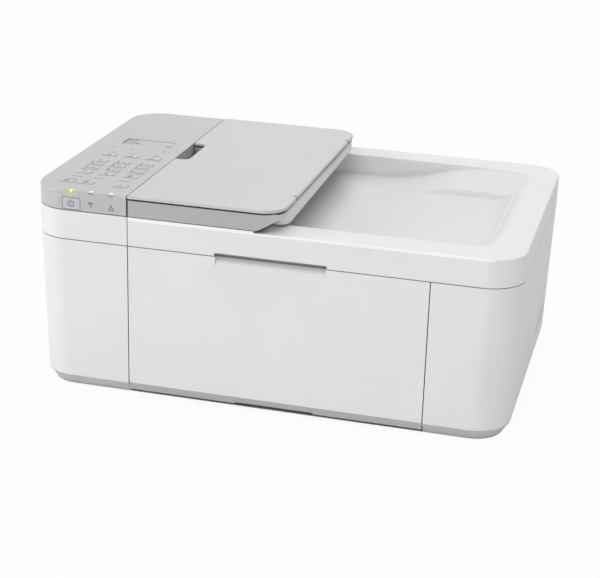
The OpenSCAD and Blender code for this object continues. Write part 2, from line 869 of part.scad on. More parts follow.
module print_frame() {
    color("#4a4c4f") difference() {
        union() {
            // Side walls with ears for the inner cover
            for (x = [frame_l, frame_r - frame_t]) {
                block([x, frame_front, floor_z], [x + frame_t, frame_back, frame_top]);
                block([x, inner_y - 4, frame_top - 1], [x + frame_t, inner_y + 4, inner_z]);
                bar_x(x, x + frame_t, inner_y, inner_z, 4);
            }
            // Feet with the screws' bosses
            at_frame_screws() block([-foot_w / 2, -foot_w / 2, floor_z],
                [foot_w / 2, foot_w / 2, bed_z]);
            // Output deck in front of the exit roller and platen behind it
            block([frame_l + 1, extension_front - 4, deck_z - deck_t],
                [frame_r - 1, exit_y - exit_r - 0.6, deck_z]);
            block([frame_l + 1, exit_y + exit_r + 0.6, deck_z - deck_t],
                [frame_r - 1, feed_y - feed_r - 1, deck_z]);
            for (i = [-5.5:5.5]) {
                x = paper_x + i * paper_w / 12;
                block([x - 0.75, exit_y + exit_r + 2, deck_z - eps],
                    [x + 0.75, feed_y - feed_r - 3, deck_z + 1.4]);
            }
            // Ledges that carry the output extension
            for (x = [frame_l + frame_t - eps, frame_r - frame_t - 6 + eps]) {
                block([x, extension_front - 4, extension_z - 0.3 - ledge_t],
                    [x + 6, extension_back, extension_z - 0.3]);
            }
            paper_turn();
        }
        bar_x(frame_l - 1, frame_r + 1, feed_y, feed_z, feed_shaft_r + run_gap);
        bar_x(frame_l - 1, frame_r + 1, exit_y, exit_z, exit_shaft_r + run_gap);
        bar_x(frame_l - 1, frame_r + 1, inner_y, inner_z, inner_pin_r + run_gap);
        at_frame_screws() translate([0, 0, floor_z - 1]) cylinder(h = bed_t + 2, r = screw_r + run_gap);
    }
}

// Guide behind the feed roller that turns the sheet over
module paper_turn() {
    r = feed_r + turn_gap;
    translate([frame_l + 1, feed_y, feed_z]) rotate([90, 0, 90]) linear_extrude(frame_r - frame_l - 2) {
        difference() {
            circle(r + 3);
            circle(r);
            translate([-2 * r, -2 * r]) square([2 * r + 2, 4 * r]);
        }
    }
}

module feed_roller() {
    color("#2b2b2d") {
        bar_x(frame_l + frame_t + 6, frame_r - frame_t - 6, feed_y, feed_z, feed_r - 3);
        for (i = [-3, -1, 1, 3]) {
            x = paper_x + i * paper_w / 9;
            bar_x(x - tyre_w / 2, x + tyre_w / 2, feed_y, feed_z, feed_r);
        }
        bar_x(frame_l - 6, frame_r + 2, feed_y, feed_z, feed_shaft_r);
        bar_x(frame_l - 5.5, frame_l - 1, feed_y, feed_z, feed_pulley_r);
    }
}

module exit_roller() {
    color("#2b2b2d") {
        bar_x(frame_l - 6, frame_r + 2, exit_y, exit_z, exit_shaft_r);
        for (i = [-2.5:2.5]) {
            x = paper_x + i * paper_w / 6;
            bar_x(x - exit_tyre_w / 2, x + exit_tyre_w / 2, exit_y, exit_z, exit_r);
        }
        bar_x(frame_l - 5.5, frame_l - 1, exit_y, exit_z, exit_pulley_r);
    }
}

// Belt round the two rollers' pulleys
module feed_belt() {
    color("#1f1f20") translate([frame_l - 5, 0, 0]) rotate([90, 0, 90]) linear_extrude(3.5) {
        difference() {
            translate([exit_y, exit_z]) polygon(belt_points(belt_t + belt_gap));
            translate([exit_y, exit_z]) polygon(belt_points(belt_gap));
        }
    }
}

// Outline of a belt round both pulleys, clear of them by out, seen from the small one
function belt_points(out) =
    let (
        span = feed_y - exit_y,
        rise = feed_z - exit_z,
        dist = sqrt(span * span + rise * rise),
        lean = atan2(rise, span),
        swing = asin((feed_pulley_r - exit_pulley_r) / dist),
        steps = 24
    )
    concat(
        [for (i = [0:steps]) let (a = lean + 90 + swing + (180 - 2 * swing) * i / steps)
            (exit_pulley_r + out) * [cos(a), sin(a)]],
        [for (i = [0:steps]) let (a = lean - 90 - swing + (180 + 2 * swing) * i / steps)
            [span, rise] + (feed_pulley_r + out) * [cos(a), sin(a)]]
    );

// Paper guide whose blade faces the sheet; side is -1 on the left and 1 on the right
module paper_guide(side) {
    face = paper_x + side * (paper_w / 2 + 0.5);
    color("#3c3e41") {
        block([min(face, face + side * guide_t), guide_front, bed_z + 0.3],
            [max(face, face + side * guide_t), guide_front + guide_len, bed_z + guide_h]);
        // Sole and the foot that runs in the bed's slot
        block([min(face, face + side * 6), guide_front + 20, bed_z + 0.3],
            [max(face, face + side * 6), guide_front + guide_len - 20, bed_z + 2]);
        block([face + (side < 0 ? -6 : 0), slot_y + 0.3, floor_z + 1.3],
            [face + (side < 0 ? 0 : 6), slot_y + slot_w - 0.3, bed_z + 1]);
    }
}

module left_paper_guide() {
    paper_guide(-1);
}

module right_paper_guide() {
    paper_guide(1);
}

module output_extension() {
    color("#55575a") difference() {
        slab([frame_l + frame_t + 0.3, extension_front, extension_z],
            [frame_r - frame_t - 0.3, extension_back, extension_z + extension_t], [6, 6, 1, 1]);
        // Finger scoop in the front edge
        translate([paper_x, extension_front - 12, extension_z - 1]) cylinder(h = extension_t + 2, r = 24);
    }
}

module inner_cover() {
    color("#5b5d60") {
        block([frame_l + frame_t + 0.5, inner_y - inner_t / 2, inner_z],
            [frame_r - frame_t - 0.5, inner_y + inner_t / 2, inner_top]);
        bar_x(frame_l + frame_t + 0.5, frame_r - frame_t - 0.5, inner_y, inner_z, 3.4);
        bar_x(frame_l + 0.5, frame_r - 0.5, inner_y, inner_z, inner_pin_r);
        // Ribs and a finger tab on the front face
        for (i = [-2.5:2.5]) {
            x = paper_x + i * paper_w / 6;
            block([x - 1, inner_y - inner_t / 2 - 2, inner_z + 5], [x + 1, inner_y, inner_top - 4]);
        }
        block([paper_x - 20, inner_y - inner_t / 2 - 6, inner_top - 3],
            [paper_x + 20, inner_y, inner_top]);
    }
}

module carriage() {
    color("#35373a") difference() {
        union() {
            difference() {
                block([car_l, car_front, car_z], [car_r, car_back, car_z + car_h]);
                for (i = [0, 1]) {
                    x = car_l + car_wall + i * (bay_w + car_wall);
                    block([x, car_front - 1, car_z + 2], [x + bay_w, car_back - 3, car_z + car_h + 1]);
                    block([x + bay_w / 2 - 11, car_front + 8, car_z - 1],
                        [x + bay_w / 2 + 11, car_front + 24, car_z + 3]);
                }
            }
            // Cheeks that carry the latches
            for (x = [car_l, car_l + bay_w + car_wall, car_r - car_wall]) {
                block([x, latch_y - 5, car_z + car_h - 1], [x + car_wall, car_back, latch_z]);
                bar_x(x, x + car_wall, latch_y, latch_z, 3.2);
            }
            // Sleeve on the guide rod
            block([car_l + 4, car_back - 1, rod_z - 8], [car_r - 4, rod_y + 7, rod_z + 8]);
        }
        bar_x(car_l, car_r, rod_y, rod_z, rod_r + run_gap);
        bar_x(car_l - 1, car_r + 1, latch_y, latch_z, latch_pin_r + run_gap);
    }
}

// Ink cartridge in bay i, with its print head below
module cartridge(i, tint) {
    x = car_l + car_wall + i * (bay_w + car_wall) + bay_w / 2;
    color(tint) {
        block([x - cartridge_w / 2, car_front + 1, car_z + 2],
            [x + cartridge_w / 2, car_back - 4, car_z + car_h - 3]);
        block([x - 10, car_front + 9, car_z - 5], [x + 10, car_front + 23, car_z + 2 + eps]);
        // Grip on the front face
        block([x - 12, car_front - 1.5, car_z + 14], [x + 12, car_front + 1 + eps, car_z + 18]);
    }
}

module black_cartridge() {
    cartridge(1, "#1d1d1f");
}

module colour_cartridge() {
    cartridge(0, "#35507c");
}

// Lever that locks the cartridge in bay i
module cartridge_latch(i) {
    x = car_l + car_wall + i * (bay_w + car_wall);
    color("#7d8084") {
        bar_x(x + 0.3, x + bay_w - 0.3, latch_y, latch_z, 2.8);
        bar_x(x - car_wall * 0.4, x + bay_w + car_wall * 0.4, latch_y, latch_z, latch_pin_r);
        block([x + 1, car_front + 2, latch_z - 2.8], [x + bay_w - 1, latch_y, latch_z - 0.3]);
        block([x + 8, car_front + 8, latch_z - 6.5],
            [x + bay_w - 8, car_front + 12, latch_z - 2.8 + eps]);
    }
}

module black_latch() {
    cartridge_latch(1);
}

module colour_latch() {
    cartridge_latch(0);
}

// Guide rod and the sheet-metal rail behind it
module carriage_rail() {
    color("#b4b8bc") {
        bar_x(rail_l + 2, rail_r - 2, rod_y, rod_z, rod_r);
        difference() {
            union() {
                block([rail_l, rail_y, frame_top + 3], [rail_r, rail_y + rail_t, scan_z]);
                for (x = [rail_l, rail_r - 2]) {
                    block([x, rod_y - 8, rod_z - 8], [x + 2, rail_y + rail_t, rod_z + 20]);
                }
            }
            bar_y(rail_y - 1, rail_y + rail_t + 1, motor_x, drive_z, 4);
        }
        // Feet on the print frame's walls
        for (x = [frame_l, frame_r - frame_t]) {
            block([x, rail_y, frame_top], [x + frame_t, rail_y + 20, frame_top + 4]);
        }
    }
}

// Motor, toothed pulleys and belt that pull the carriage
module carriage_drive() {
    color("#6d7074") bar_y(rail_y + rail_t, rail_y + rail_t + motor_len, motor_x, drive_z, motor_r);
    color("#c8ccd0") {
        bar_y(drive_y - 3, rail_y + rail_t + 1, motor_x, drive_z, 2);
        bar_y(drive_y - 3, rail_y, idler_x, drive_z, 2);
        for (x = [idler_x, motor_x]) {
            bar_y(drive_y - 3, drive_y + 3, x, drive_z, drive_r);
        }
    }
    color("#1f1f20") difference() {
        union() {
            for (x = [idler_x, motor_x]) {
                bar_y(drive_y - 2.5, drive_y + 2.5, x, drive_z, drive_r + 1.2);
            }
            block([idler_x, drive_y - 2.5, drive_z - drive_r - 1.2],
                [motor_x, drive_y + 2.5, drive_z + drive_r + 1.2]);
        }
        for (x = [idler_x, motor_x]) {
            bar_y(drive_y - 4, drive_y + 4, x, drive_z, drive_r);
        }
        block([idler_x, drive_y - 4, drive_z - drive_r], [motor_x, drive_y + 4, drive_z + drive_r]);
    }
}

// ---------------------------------------------------------------- front cover

module front_cover() {
    top = case_h - half_seam;
    color("#f2f3f4") difference() {
        union() {
            block([door_l, front, base_h + 0.5], [door_r, door_inner, top]);
            // Stiffening ribs inside
            for (x = [door_l + 10, door_r - 12]) {
                block([x, door_inner - eps, base_h + 14], [x + 2, door_inner + 3, case_h - 22]);
            }
            for (z = [base_h + 24, case_h - 24]) {
                block([door_l + 10, door_inner - eps, z], [door_r - 10, door_inner + 3, z + 2]);
            }
            // Wall behind the scoop
            along_x(notch_x, notch_x + notch_w, [
                [front + 1, top - scoop_h],
                [door_inner, top - scoop_h - 2],
                [front + scoop_in + scoop_wall, top - 2],
                [front + scoop_in + scoop_wall, top],
                [front + 1, top]
            ]);
        }
        // Scoop between its two cheeks
        along_x(notch_x + 1, notch_x + notch_w - 1, [
            [front - 1, top - scoop_h - scoop_h / scoop_in],
            [front + scoop_in, top],
            [front + scoop_in, top + 1],
            [front - 1, top + 1]
        ]);
    }
}

// Grey foot of the front cover, with the hinge bosses and the end lugs
module door_strip() {
    foot_z = door_axis_z - strip_r + strip_rise;
    color("#a9abad") {
        difference() {
            union() {
                along_x(door_l, door_r, [
                    [front + 0.4, base_h + 0.5],
                    [front + 0.6, base_h - 1],
                    [front + 1.6, foot_z],
                    [front + 3.4, foot_z],
                    [front + 3, base_h + 0.5]
                ]);
                for (x = [door_ears_x()[0] + door_ear_w + 0.4, door_ears_x()[1] - 0.4 - door_boss_w]) {
                    bar_x(x, x + door_boss_w, door_axis_y, door_axis_z, 4.6);
                    block([x, front + 2, base_h - 4], [x + door_boss_w, door_axis_y, base_h + 0.5]);
                    block([x, door_inner, base_h], [x + door_boss_w, door_axis_y - 2, base_h + 12]);
                }
                // End lugs, which reach below the strip
                for (x = [door_l + 0.5, door_r - 0.5 - door_lug_w]) {
                    along_x(x, x + door_lug_w, [
                        [front + 1, door_axis_z],
                        [front + 1.6, foot_z],
                        [door_axis_y - 4, door_axis_z - strip_r + 1.2],
                        [door_axis_y, door_axis_z - strip_r],
                        [door_axis_y + 3, door_axis_z - 3],
                        [door_axis_y + 3, door_axis_z + 3],
                        [door_axis_y - 3, door_axis_z + 4],
                        [front + 3, base_h + 0.5]
                    ]);
                }
            }
            // Finger cut-out in the middle
            along_y(front - 1, door_axis_y + 3, [
                [notch_x + 15, 0],
                [notch_x + notch_w - 2, 0],
                [notch_x + notch_w - 9, foot_z + 1.3],
                [notch_x + 21, foot_z + 1.3]
            ]);
        }
        for (x = [door_l + 2, door_r - 2 - door_ear_in - door_ear_w]) {
            bar_x(x, x + door_ear_in + door_ear_w, door_axis_y, door_axis_z, door_pin_r);
        }
    }
}

// ---------------------------------------------------------------- document cover

function smooth(t) = t * t * t * (t * (6 * t - 15) + 10);

// Height above the recess's lowest level that climbs in a wave between two places
function wave_at(x, span, rise) =
    rim_z - recess_deep + rise * smooth(max(0, min(1, (x - span[0]) / (span[1] - span[0]))));

// Height of the recess's end, which climbs from the floor to just under the rim
function end_at(t) = rim_z - recess_shallow + (recess_shallow - 1) * smooth(t);

// Room that the output recess takes out of the cover, or its outer skin with grow above 0
module recess(grow) {
    steps = 16;
    difference() {
        intersection() {
            slab([recess_l - grow, recess_front - grow, rim_z - recess_deep - grow - 1],
                [recess_r_x + grow, recess_back + grow, rim_z + 6],
                    [0, recess_r + grow, recess_r + grow, 0]);
            along_y(recess_front - grow, recess_back + grow, concat(
                [[recess_l - grow, rim_z + 5], [recess_l - grow, rim_z - recess_deep - grow]],
                [for (i = [0:steps]) let (x = floor_x[0] + (floor_x[1] - floor_x[0]) * i / steps)
                    [x, wave_at(x, floor_x, floor_rise) - grow]],
                [for (i = [1:steps / 2]) let (t = 2 * i / steps)
                    [floor_x[1] + (end_x - floor_x[1]) * t, end_at(t) - grow]],
                [[recess_r_x + grow, rim_z - 1 - grow], [recess_r_x + grow, rim_z + 5]]
            ));
        }
        recess_ledge(grow);
    }
}

// What the raised ledge at the recess's back right takes up; it leans back a little
module recess_ledge(grow) {
    steps = 14;
    low = rim_z - recess_deep - grow - 6;
    translate([0, ledge_y + grow, rim_z]) rotate([ledge_tilt, 0, 0]) translate([0, 0, -rim_z])
        along_y(0, recess_back - ledge_y + 10, concat(
            [[ledge_x[0], low]],
            [for (i = [0:steps]) let (x = ledge_x[0] + (ledge_x[1] - ledge_x[0]) * i / steps)
                [x, wave_at(x, ledge_x, ledge_rise) - grow]],
            [[right, wave_at(ledge_x[1], ledge_x, ledge_rise) - grow], [right, low]]
        ));
}

module document_cover() {
    z0 = case_h + half_seam;
    color("#f2f3f4") cover_pins();
    color("#f2f3f4") difference() {
        union() {
            difference() {
                cover_block(z0);
                difference() {
                    slab([door_l + cover_wall, front + cover_wall, z0 - 1],
                        [right - cover_wall, back - cover_wall, rim_z - cover_wall],
                        [0, corner_r - cover_wall, corner_r - cover_wall, 0]);
                    recess(cover_wall);
                }
                recess(0);
            }
            // Plinth under the feeder
            slab([door_l, front, rim_z - 1],
                [recess_l + 34, feeder_back, rim_z + plinth_h], [0, 0, 0, 0]);
            // Ribs that hold the pressure plate
            for (x = [door_l + 30, recess_l - 8, right - 14]) {
                block([x, front + 40, z0 + pad_plate_t], [x + 2, back - 40, rim_z - cover_wall + eps]);
            }
            hinge_ribs();
        }
        // The recess again, through the plinth
        intersection() {
            recess(0);
            block([recess_l - 1, front, rim_z - 2], [recess_l + 40, back, rim_z + 5]);
        }
        // Slots that the hinge ears turn in
        for (x = cover_ears_x) {
            block([x - 0.6, cover_axis_y - 8, z0 - 1],
                [x + cover_ear_w + 0.6, back + 1, cover_axis_z + 7]);
        }
        // Finger slot with rounded upper corners
        translate([0, front + cover_wall + 1, 0]) rotate([90, 0, 0]) linear_extrude(cover_wall + 2)
            outline([notch_x, z0 - 1], [notch_x + notch_w, case_h + notch_h], [0, 0, 1.5, 1.5]);
    }
}

// Outer block of the cover, its lower back edge rounded about the hinge axis
module cover_block(z0) {
    r = cover_axis_in;
    difference() {
        slab([door_l, front, z0], [right, back, rim_z], [0, corner_r, corner_r, 0]);
        translate([door_l - 1, cover_axis_y, cover_axis_z]) rotate([90, 0, 90]) linear_extrude(body_w) {
            difference() {
                translate([0, -r - 2]) square([r + 2, r + 2]);
                circle(r);
            }
        }
    }
}

// Ribs beside the hinge ears
module hinge_ribs() {
    for (x = cover_ears_x, xr = [x - 3, x + cover_ear_w + 0.6]) {
        block([xr, cover_axis_y - 9, case_h + half_seam + 3],
            [xr + 2.4, cover_axis_y + 8, rim_z - cover_wall + eps]);
    }
}

// Pins from rib to rib, through the ears
module cover_pins() {
    for (x = cover_ears_x) {
        bar_x(x - 2, x + cover_ear_w + 2, cover_axis_y, cover_axis_z, cover_pin_r);
    }
}

// Backing plate and the foam that presses the page on the glass
module pressure_pad() {
    z0 = case_h + half_seam;
    color("#fafafa") difference() {
        union() {
            slab([door_l + cover_wall + 1, front + cover_wall + 8, z0],
                [right - cover_wall - 1, cover_axis_y - 10, z0 + pad_plate_t], [4, 24, 4, 4]);
            slab([glass_l_x + 3, -glass_d / 2 + 4, plate_z + 0.4],
                [glass_r_x - 3, glass_d / 2 - 4, z0 + eps],
                [4, 4, 4, 4]);
        }
        slab([notch_x - 4, front, z0 - 1], [notch_x + notch_w + 4, front + 22, z0 + 3], [0, 0, 0, 0]);
    }
}

// ---------------------------------------------------------------- document feeder

module adf_frame() {
    color("#b7b9bb") difference() {
        union() {
            intersection() {
                slab([feeder_l, front, grey_z - 1],
                    [feeder_r_x - 1, feeder_back, feeder_top], [0, feeder_r, feeder_r, 0]);
                along_y(front - 1, feeder_back + 1, [
                    [feeder_l, grey_z],
                    [feeder_r_x - 22, grey_z],
                    [feeder_r_x - 7, grey_z + undercut_h * 0.76],
                    [feeder_r_x - 1, grey_z + undercut_h],
                    [feeder_r_x - 1, feeder_top - 0.8],
                    [feeder_r_x - 6, feeder_top - 0.8],
                    [feeder_r_x - 7, feeder_top],
                    [feeder_l, feeder_top]
                ]);
            }
            // Feet on the cover's plinth
            for (y = [front + 20, feeder_back - 40]) {
                block([feeder_l + 12, y, grey_z - seam], [recess_l - 12, y + 20, grey_z + 1]);
            }
            // Ears of the tray's hinge
            for (y = tray_ears_y) {
                bar_y(y, y + tray_ear_w, tray_axis_x, tray_axis_z, tray_ear_r);
                block([tray_axis_x - tray_ear_r, y, feeder_top - 4],
                    [tray_axis_x + tray_ear_r - 0.5, y + tray_ear_w, tray_axis_z]);
            }
        }
        // Well for the document's edge, and the gullet under the roller
        slab([well_l, well_front, well_z], [well_r, well_back, top_z], [2, 6, 6, 2]);
        // Finger pocket under the tray's notch
        slab([feeder_l - 1, finger_y0(), tray_z - 9], [feeder_l + 14, finger_y1(), top_z], [0, 4, 4, 0]);
        for (y = tray_ears_y) {
            bar_y(y - 1, y + tray_ear_w + 1, tray_axis_x, tray_axis_z, tray_pin_r + run_gap);
        }
        bar_y(well_front + 60, well_back - 60, adf_roller_x, adf_roller_z, adf_roller_r + 0.8);
    }
    // Cheeks that carry the roller
    color("#b7b9bb") for (y = [well_front + 56, well_back - 60]) {
        difference() {
            block([adf_roller_x - 5, y, well_z - 1], [adf_roller_x + 5, y + 4, adf_roller_z + 4.5]);
            bar_y(y - 1, y + 5, adf_roller_x, adf_roller_z, 2 + run_gap);
        }
    }
}

function finger_y0() = front + 123.5;
function finger_y1() = finger_y0() + 57;

module adf_roller() {
    color("#2b2b2d") {
        bar_y(well_front + 56.5, well_back - 56.5, adf_roller_x, adf_roller_z, 2);
        for (y = [well_front + 74, well_back - 92]) {
            bar_y(y, y + 18, adf_roller_x, adf_roller_z, adf_roller_r);
        }
        bar_y(well_front + 60.5, well_back - 60.5, adf_roller_x, adf_roller_z, 3.2);
    }
}

// Guide that slides across the well; side is -1 in front and 1 behind
module document_guide(side) {
    face = side < 0 ? well_front + doc_side : well_back - doc_side;
    color("#9a9c9f") {
        block([well_l + 26, min(face, face + side * doc_blade_t), well_z + 0.3],
            [well_r - 10, max(face, face + side * doc_blade_t), feeder_top - 1]);
        block([well_l + 30, min(face, face - side * 14), well_z + 0.3],
            [well_r - 14, max(face, face - side * 14), well_z + 1.3]);
    }
}

module front_document_guide() {
    document_guide(-1);
}

module rear_document_guide() {
    document_guide(1);
}

// Lid of the feeder, which opens into the document tray
module document_tray() {
    color("#c4c6c8") difference() {
        union() {
            slab([feeder_l, front, tray_z], [tray_axis_x, feeder_back, top_z], [0, 0, 0, 0]);
            bar_y(front + feeder_r, feeder_back - feeder_r, tray_axis_x, tray_axis_z, bead_r);
        }
        // Right corners
        for (c = [[front, -1], [feeder_back, 1]]) {
            difference() {
                block([tray_axis_x + bead_r - feeder_r,
                    min(c[0] - c[1] * feeder_r, c[0] + c[1]), tray_z - 5],
                    [tray_axis_x + 10, max(c[0] - c[1] * feeder_r, c[0] + c[1]), top_z + 1]);
                translate([tray_axis_x + bead_r - feeder_r, c[0] - c[1] * feeder_r, tray_z - 6])
                    cylinder(h = 20, r = feeder_r);
            }
        }
        slab([feeder_l - 1, finger_y0(), tray_z - 1],
            [feeder_l + 13, finger_y1(), top_z + 1], [0, 6, 6, 0]);
        for (y = tray_ears_y) {
            // The ear stays covered on the left of the axis
            bar_y(y - 0.3, y + tray_ear_w + 0.3, tray_axis_x, tray_axis_z, tray_ear_r + 0.2);
            block([tray_axis_x - tray_ear_r - 0.2, y - 0.3, tray_z - 5],
                [tray_axis_x + 5, y + tray_ear_w + 0.3, tray_axis_z]);
            block([tray_axis_x - 0.6, y - 0.3, tray_z],
                [tray_axis_x + 5, y + tray_ear_w + 0.3, top_z + 1]);
        }
    }
    color("#c4c6c8") for (y = tray_ears_y) {
        bar_y(y - 1, y + tray_ear_w + 1, tray_axis_x, tray_axis_z, tray_pin_r);
    }
}

base_pan();
rubber_feet();
left_side_cover();
right_side_cover();
rear_cover();
scanner_frame();
platen_glass();
scan_rail();
scan_bar();
panel_housing();
operation_panel();
lcd_window();
indicator_lenses();
panel_board();
main_board();
power_supply();
carriage_rail();
carriage_drive();
print_frame();
housing_screws();
carriage();
black_cartridge();
colour_cartridge();
black_latch();
colour_latch();
feed_roller();
exit_roller();
feed_belt();
left_paper_guide();
right_paper_guide();
output_extension();
inner_cover();
front_cover();
door_strip();
document_cover();
pressure_pad();
adf_frame();
document_tray();
adf_roller();
front_document_guide();
rear_document_guide();
key_1();
key_2();
key_3();
key_4();
key_5();
key_6();
key_7();
key_8();
key_9();
key_star();
key_0();
key_hash();
left_key();
ok_key();
right_key();
black_start_key();
colour_start_key();
stop_key();
power_button();
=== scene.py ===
"""Looks of the all-in-one inkjet printer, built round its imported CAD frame. Metres, +Z up, front at -Y."""

import json
import math

import bmesh
import bpy
import numpy as np
from mathutils import Matrix, Vector

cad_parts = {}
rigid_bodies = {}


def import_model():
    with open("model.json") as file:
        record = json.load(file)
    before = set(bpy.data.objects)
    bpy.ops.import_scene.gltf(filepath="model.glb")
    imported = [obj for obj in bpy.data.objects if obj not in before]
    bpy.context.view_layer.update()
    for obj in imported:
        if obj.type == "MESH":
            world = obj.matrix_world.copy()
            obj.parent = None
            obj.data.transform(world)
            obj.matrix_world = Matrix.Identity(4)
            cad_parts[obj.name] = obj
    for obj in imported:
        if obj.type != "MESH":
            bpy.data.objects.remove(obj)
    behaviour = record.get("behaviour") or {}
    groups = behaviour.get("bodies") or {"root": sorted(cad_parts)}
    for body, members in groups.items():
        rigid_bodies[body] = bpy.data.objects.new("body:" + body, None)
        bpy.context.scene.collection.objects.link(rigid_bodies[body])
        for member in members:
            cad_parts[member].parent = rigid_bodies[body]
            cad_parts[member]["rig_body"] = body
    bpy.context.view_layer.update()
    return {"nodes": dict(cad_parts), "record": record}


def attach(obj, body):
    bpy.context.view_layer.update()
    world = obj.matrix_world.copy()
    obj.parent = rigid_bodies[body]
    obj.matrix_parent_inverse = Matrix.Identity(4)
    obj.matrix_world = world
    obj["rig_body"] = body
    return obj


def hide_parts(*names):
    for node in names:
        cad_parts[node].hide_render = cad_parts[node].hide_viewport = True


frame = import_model()
nodes = frame["nodes"]
MM = 0.001

# Levels and places repeated from the part's source, in millimetres
FRONT, BACK, RIGHT = -147.5, 147.5, 217.5
RIM = 168.2
TOP = 189.0
PANEL_TOP = 188.5
LCD_TOP = 188.3
PLATEN = 142.4

# ---------------------------------------------------------------- camera, lamps and floor

# The camera's place, turn and lens are fitted to the photograph, with the part's three sizes held
CAMERA_AT = Vector((0.3394, -1.3473, 0.5960))
CAMERA_YAW = math.radians(14.45)
CAMERA_PITCH = math.radians(20.90)
CAMERA_ROLL = math.radians(1.72)
CAMERA_LENS = 93.36


def make_camera():
    forward = Vector((
        -math.sin(CAMERA_YAW) * math.cos(CAMERA_PITCH),
        math.cos(CAMERA_YAW) * math.cos(CAMERA_PITCH),
        -math.sin(CAMERA_PITCH),
    ))
    level = Vector((math.cos(CAMERA_YAW), math.sin(CAMERA_YAW), 0))
    above = level.cross(forward)
    across = math.cos(CAMERA_ROLL) * level + math.sin(CAMERA_ROLL) * above
    up = -math.sin(CAMERA_ROLL) * level + math.cos(CAMERA_ROLL) * above
    data = bpy.data.cameras.new("camera")
    data.lens = CAMERA_LENS
    data.clip_start, data.clip_end = 0.05, 50
    camera = bpy.data.objects.new("camera", data)
    camera.matrix_world = Matrix((
        (across.x, up.x, -forward.x, CAMERA_AT.x),
        (across.y, up.y, -forward.y, CAMERA_AT.y),
        (across.z, up.z, -forward.z, CAMERA_AT.z),
        (0, 0, 0, 1),
    ))
    bpy.context.scene.collection.objects.link(camera)
    bpy.context.scene.camera = camera


def make_lamp(name, place, aim, size, power):
    data = bpy.data.lights.new(name, "AREA")
    data.shape = "RECTANGLE"
    data.size, data.size_y = size
    data.energy = power
    lamp = bpy.data.objects.new(name, data)
    lamp.location = place
    lamp.rotation_mode = "QUATERNION"
    lamp.rotation_quaternion = (Vector(aim) - Vector(place)).to_track_quat("-Z", "Y")
    bpy.context.scene.collection.objects.link(lamp)


def make_world(strength):
    world = bpy.data.worlds.new("studio")
    bpy.context.scene.world = world
    world.use_nodes = True
    tree = world.node_tree
    tree.nodes.clear()
    path = tree.nodes.new("ShaderNodeLightPath")
    seen = tree.nodes.new("ShaderNodeMath")
    seen.operation = "MAXIMUM"
    tree.links.new(path.outputs["Is Camera Ray"], seen.inputs[0])
    tree.links.new(path.outputs["Is Glossy Ray"], seen.inputs[1])
    soft = tree.nodes.new("ShaderNodeBackground")
    soft.inputs["Color"].default_value = (1.0, 1.0, 1.0, 1)
    soft.inputs["Strength"].default_value = strength
    white = tree.nodes.new("ShaderNodeBackground")
    white.inputs["Color"].default_value = (1.0, 1.0, 1.0, 1)
    white.inputs["Strength"].default_value = 1.0
    mix = tree.nodes.new("ShaderNodeMixShader")
    out = tree.nodes.new("ShaderNodeOutputWorld")
    tree.links.new(seen.outputs[0], mix.inputs[0])
    tree.links.new(soft.outputs[0], mix.inputs[1])
    tree.links.new(white.outputs[0], mix.inputs[2])
    tree.links.new(mix.outputs[0], out.inputs["Surface"])


def make_floor(share_white):
    mesh = bpy.data.meshes.new("floor")
    half = 12.0
    corners = [(-half, -half, 0), (half, -half, 0), (half, half, 0), (-half, half, 0)]
    mesh.from_pydata(corners, [], [(0, 1, 2, 3)])
    floor = bpy.data.objects.new("floor", mesh)
    bpy.context.scene.collection.objects.link(floor)
    material = bpy.data.materials.new("floor")
    material.use_nodes = True
    tree = material.node_tree
    tree.nodes.clear()
    path = tree.nodes.new("ShaderNodeLightPath")
    share = tree.nodes.new("ShaderNodeMath")
    share.operation = "MULTIPLY"
    share.inputs[1].default_value = share_white
    tree.links.new(path.outputs["Is Camera Ray"], share.inputs[0])
    diffuse = tree.nodes.new("ShaderNodeBsdfDiffuse")
    diffuse.inputs["Color"].default_value = (0.92, 0.92, 0.92, 1)
    glow = tree.nodes.new("ShaderNodeEmission")
    glow.inputs["Color"].default_value = (1, 1, 1, 1)
    mix = tree.nodes.new("ShaderNodeMixShader")
    out = tree.nodes.new("ShaderNodeOutputMaterial")
    tree.links.new(share.outputs[0], mix.inputs[0])
    tree.links.new(diffuse.outputs[0], mix.inputs[1])
    tree.links.new(glow.outputs[0], mix.inputs[2])
    tree.links.new(mix.outputs[0], out.inputs["Surface"])
    mesh.materials.append(material)


make_camera()
make_world(0.33)
make_floor(0.94)
make_lamp("key_lamp", (-0.45, -1.75, 1.9), (0, 0, 0.1), (1.6, 1.2), 11.7)
make_lamp("top_lamp", (0.2, 0.45, 2.05), (0, 0, 0.1), (2.0, 1.6), 11.4)
make_lamp("left_lamp", (-1.9, -0.8, 0.7), (0, 0, 0.1), (0.45, 1.2), 15.0)
make_lamp("right_lamp", (1.0, -1.85, 0.7), (0, 0, 0.1), (1.4, 1.2), 6.6)
make_lamp("back_lamp", (0.1, 1.7, 1.6), (0, 0, 0.1), (1.8, 1.2), 9)
bpy.context.scene.view_settings.view_transform = "Standard"

# ---------------------------------------------------------------- materials


def ramp(tree, source, span, to, smooth=False):
    node = tree.nodes.new("ShaderNodeMapRange")
    if smooth:
        node.interpolation_type = "SMOOTHSTEP"
    for name, value in zip(("From Min", "From Max", "To Min", "To Max"), (*span, *to)):
        node.inputs[name].default_value = value
    tree.links.new(source, node.inputs["Value"])
    return node.outputs["Result"]


def mixed(tree, share, first, second, blend="MIX"):
    node = tree.nodes.new("ShaderNodeMix")
    node.data_type = "RGBA"
    node.blend_type = blend
    for value, socket in ((share, "Factor"), (first, "A"), (second, "B")):
        target = node.inputs[socket]
        if isinstance(value, bpy.types.NodeSocket):
            tree.links.new(value, target)
        else:
            target.default_value = value
    return node.outputs["Result"]


CREVICE_SHADE_REACH = 0.006


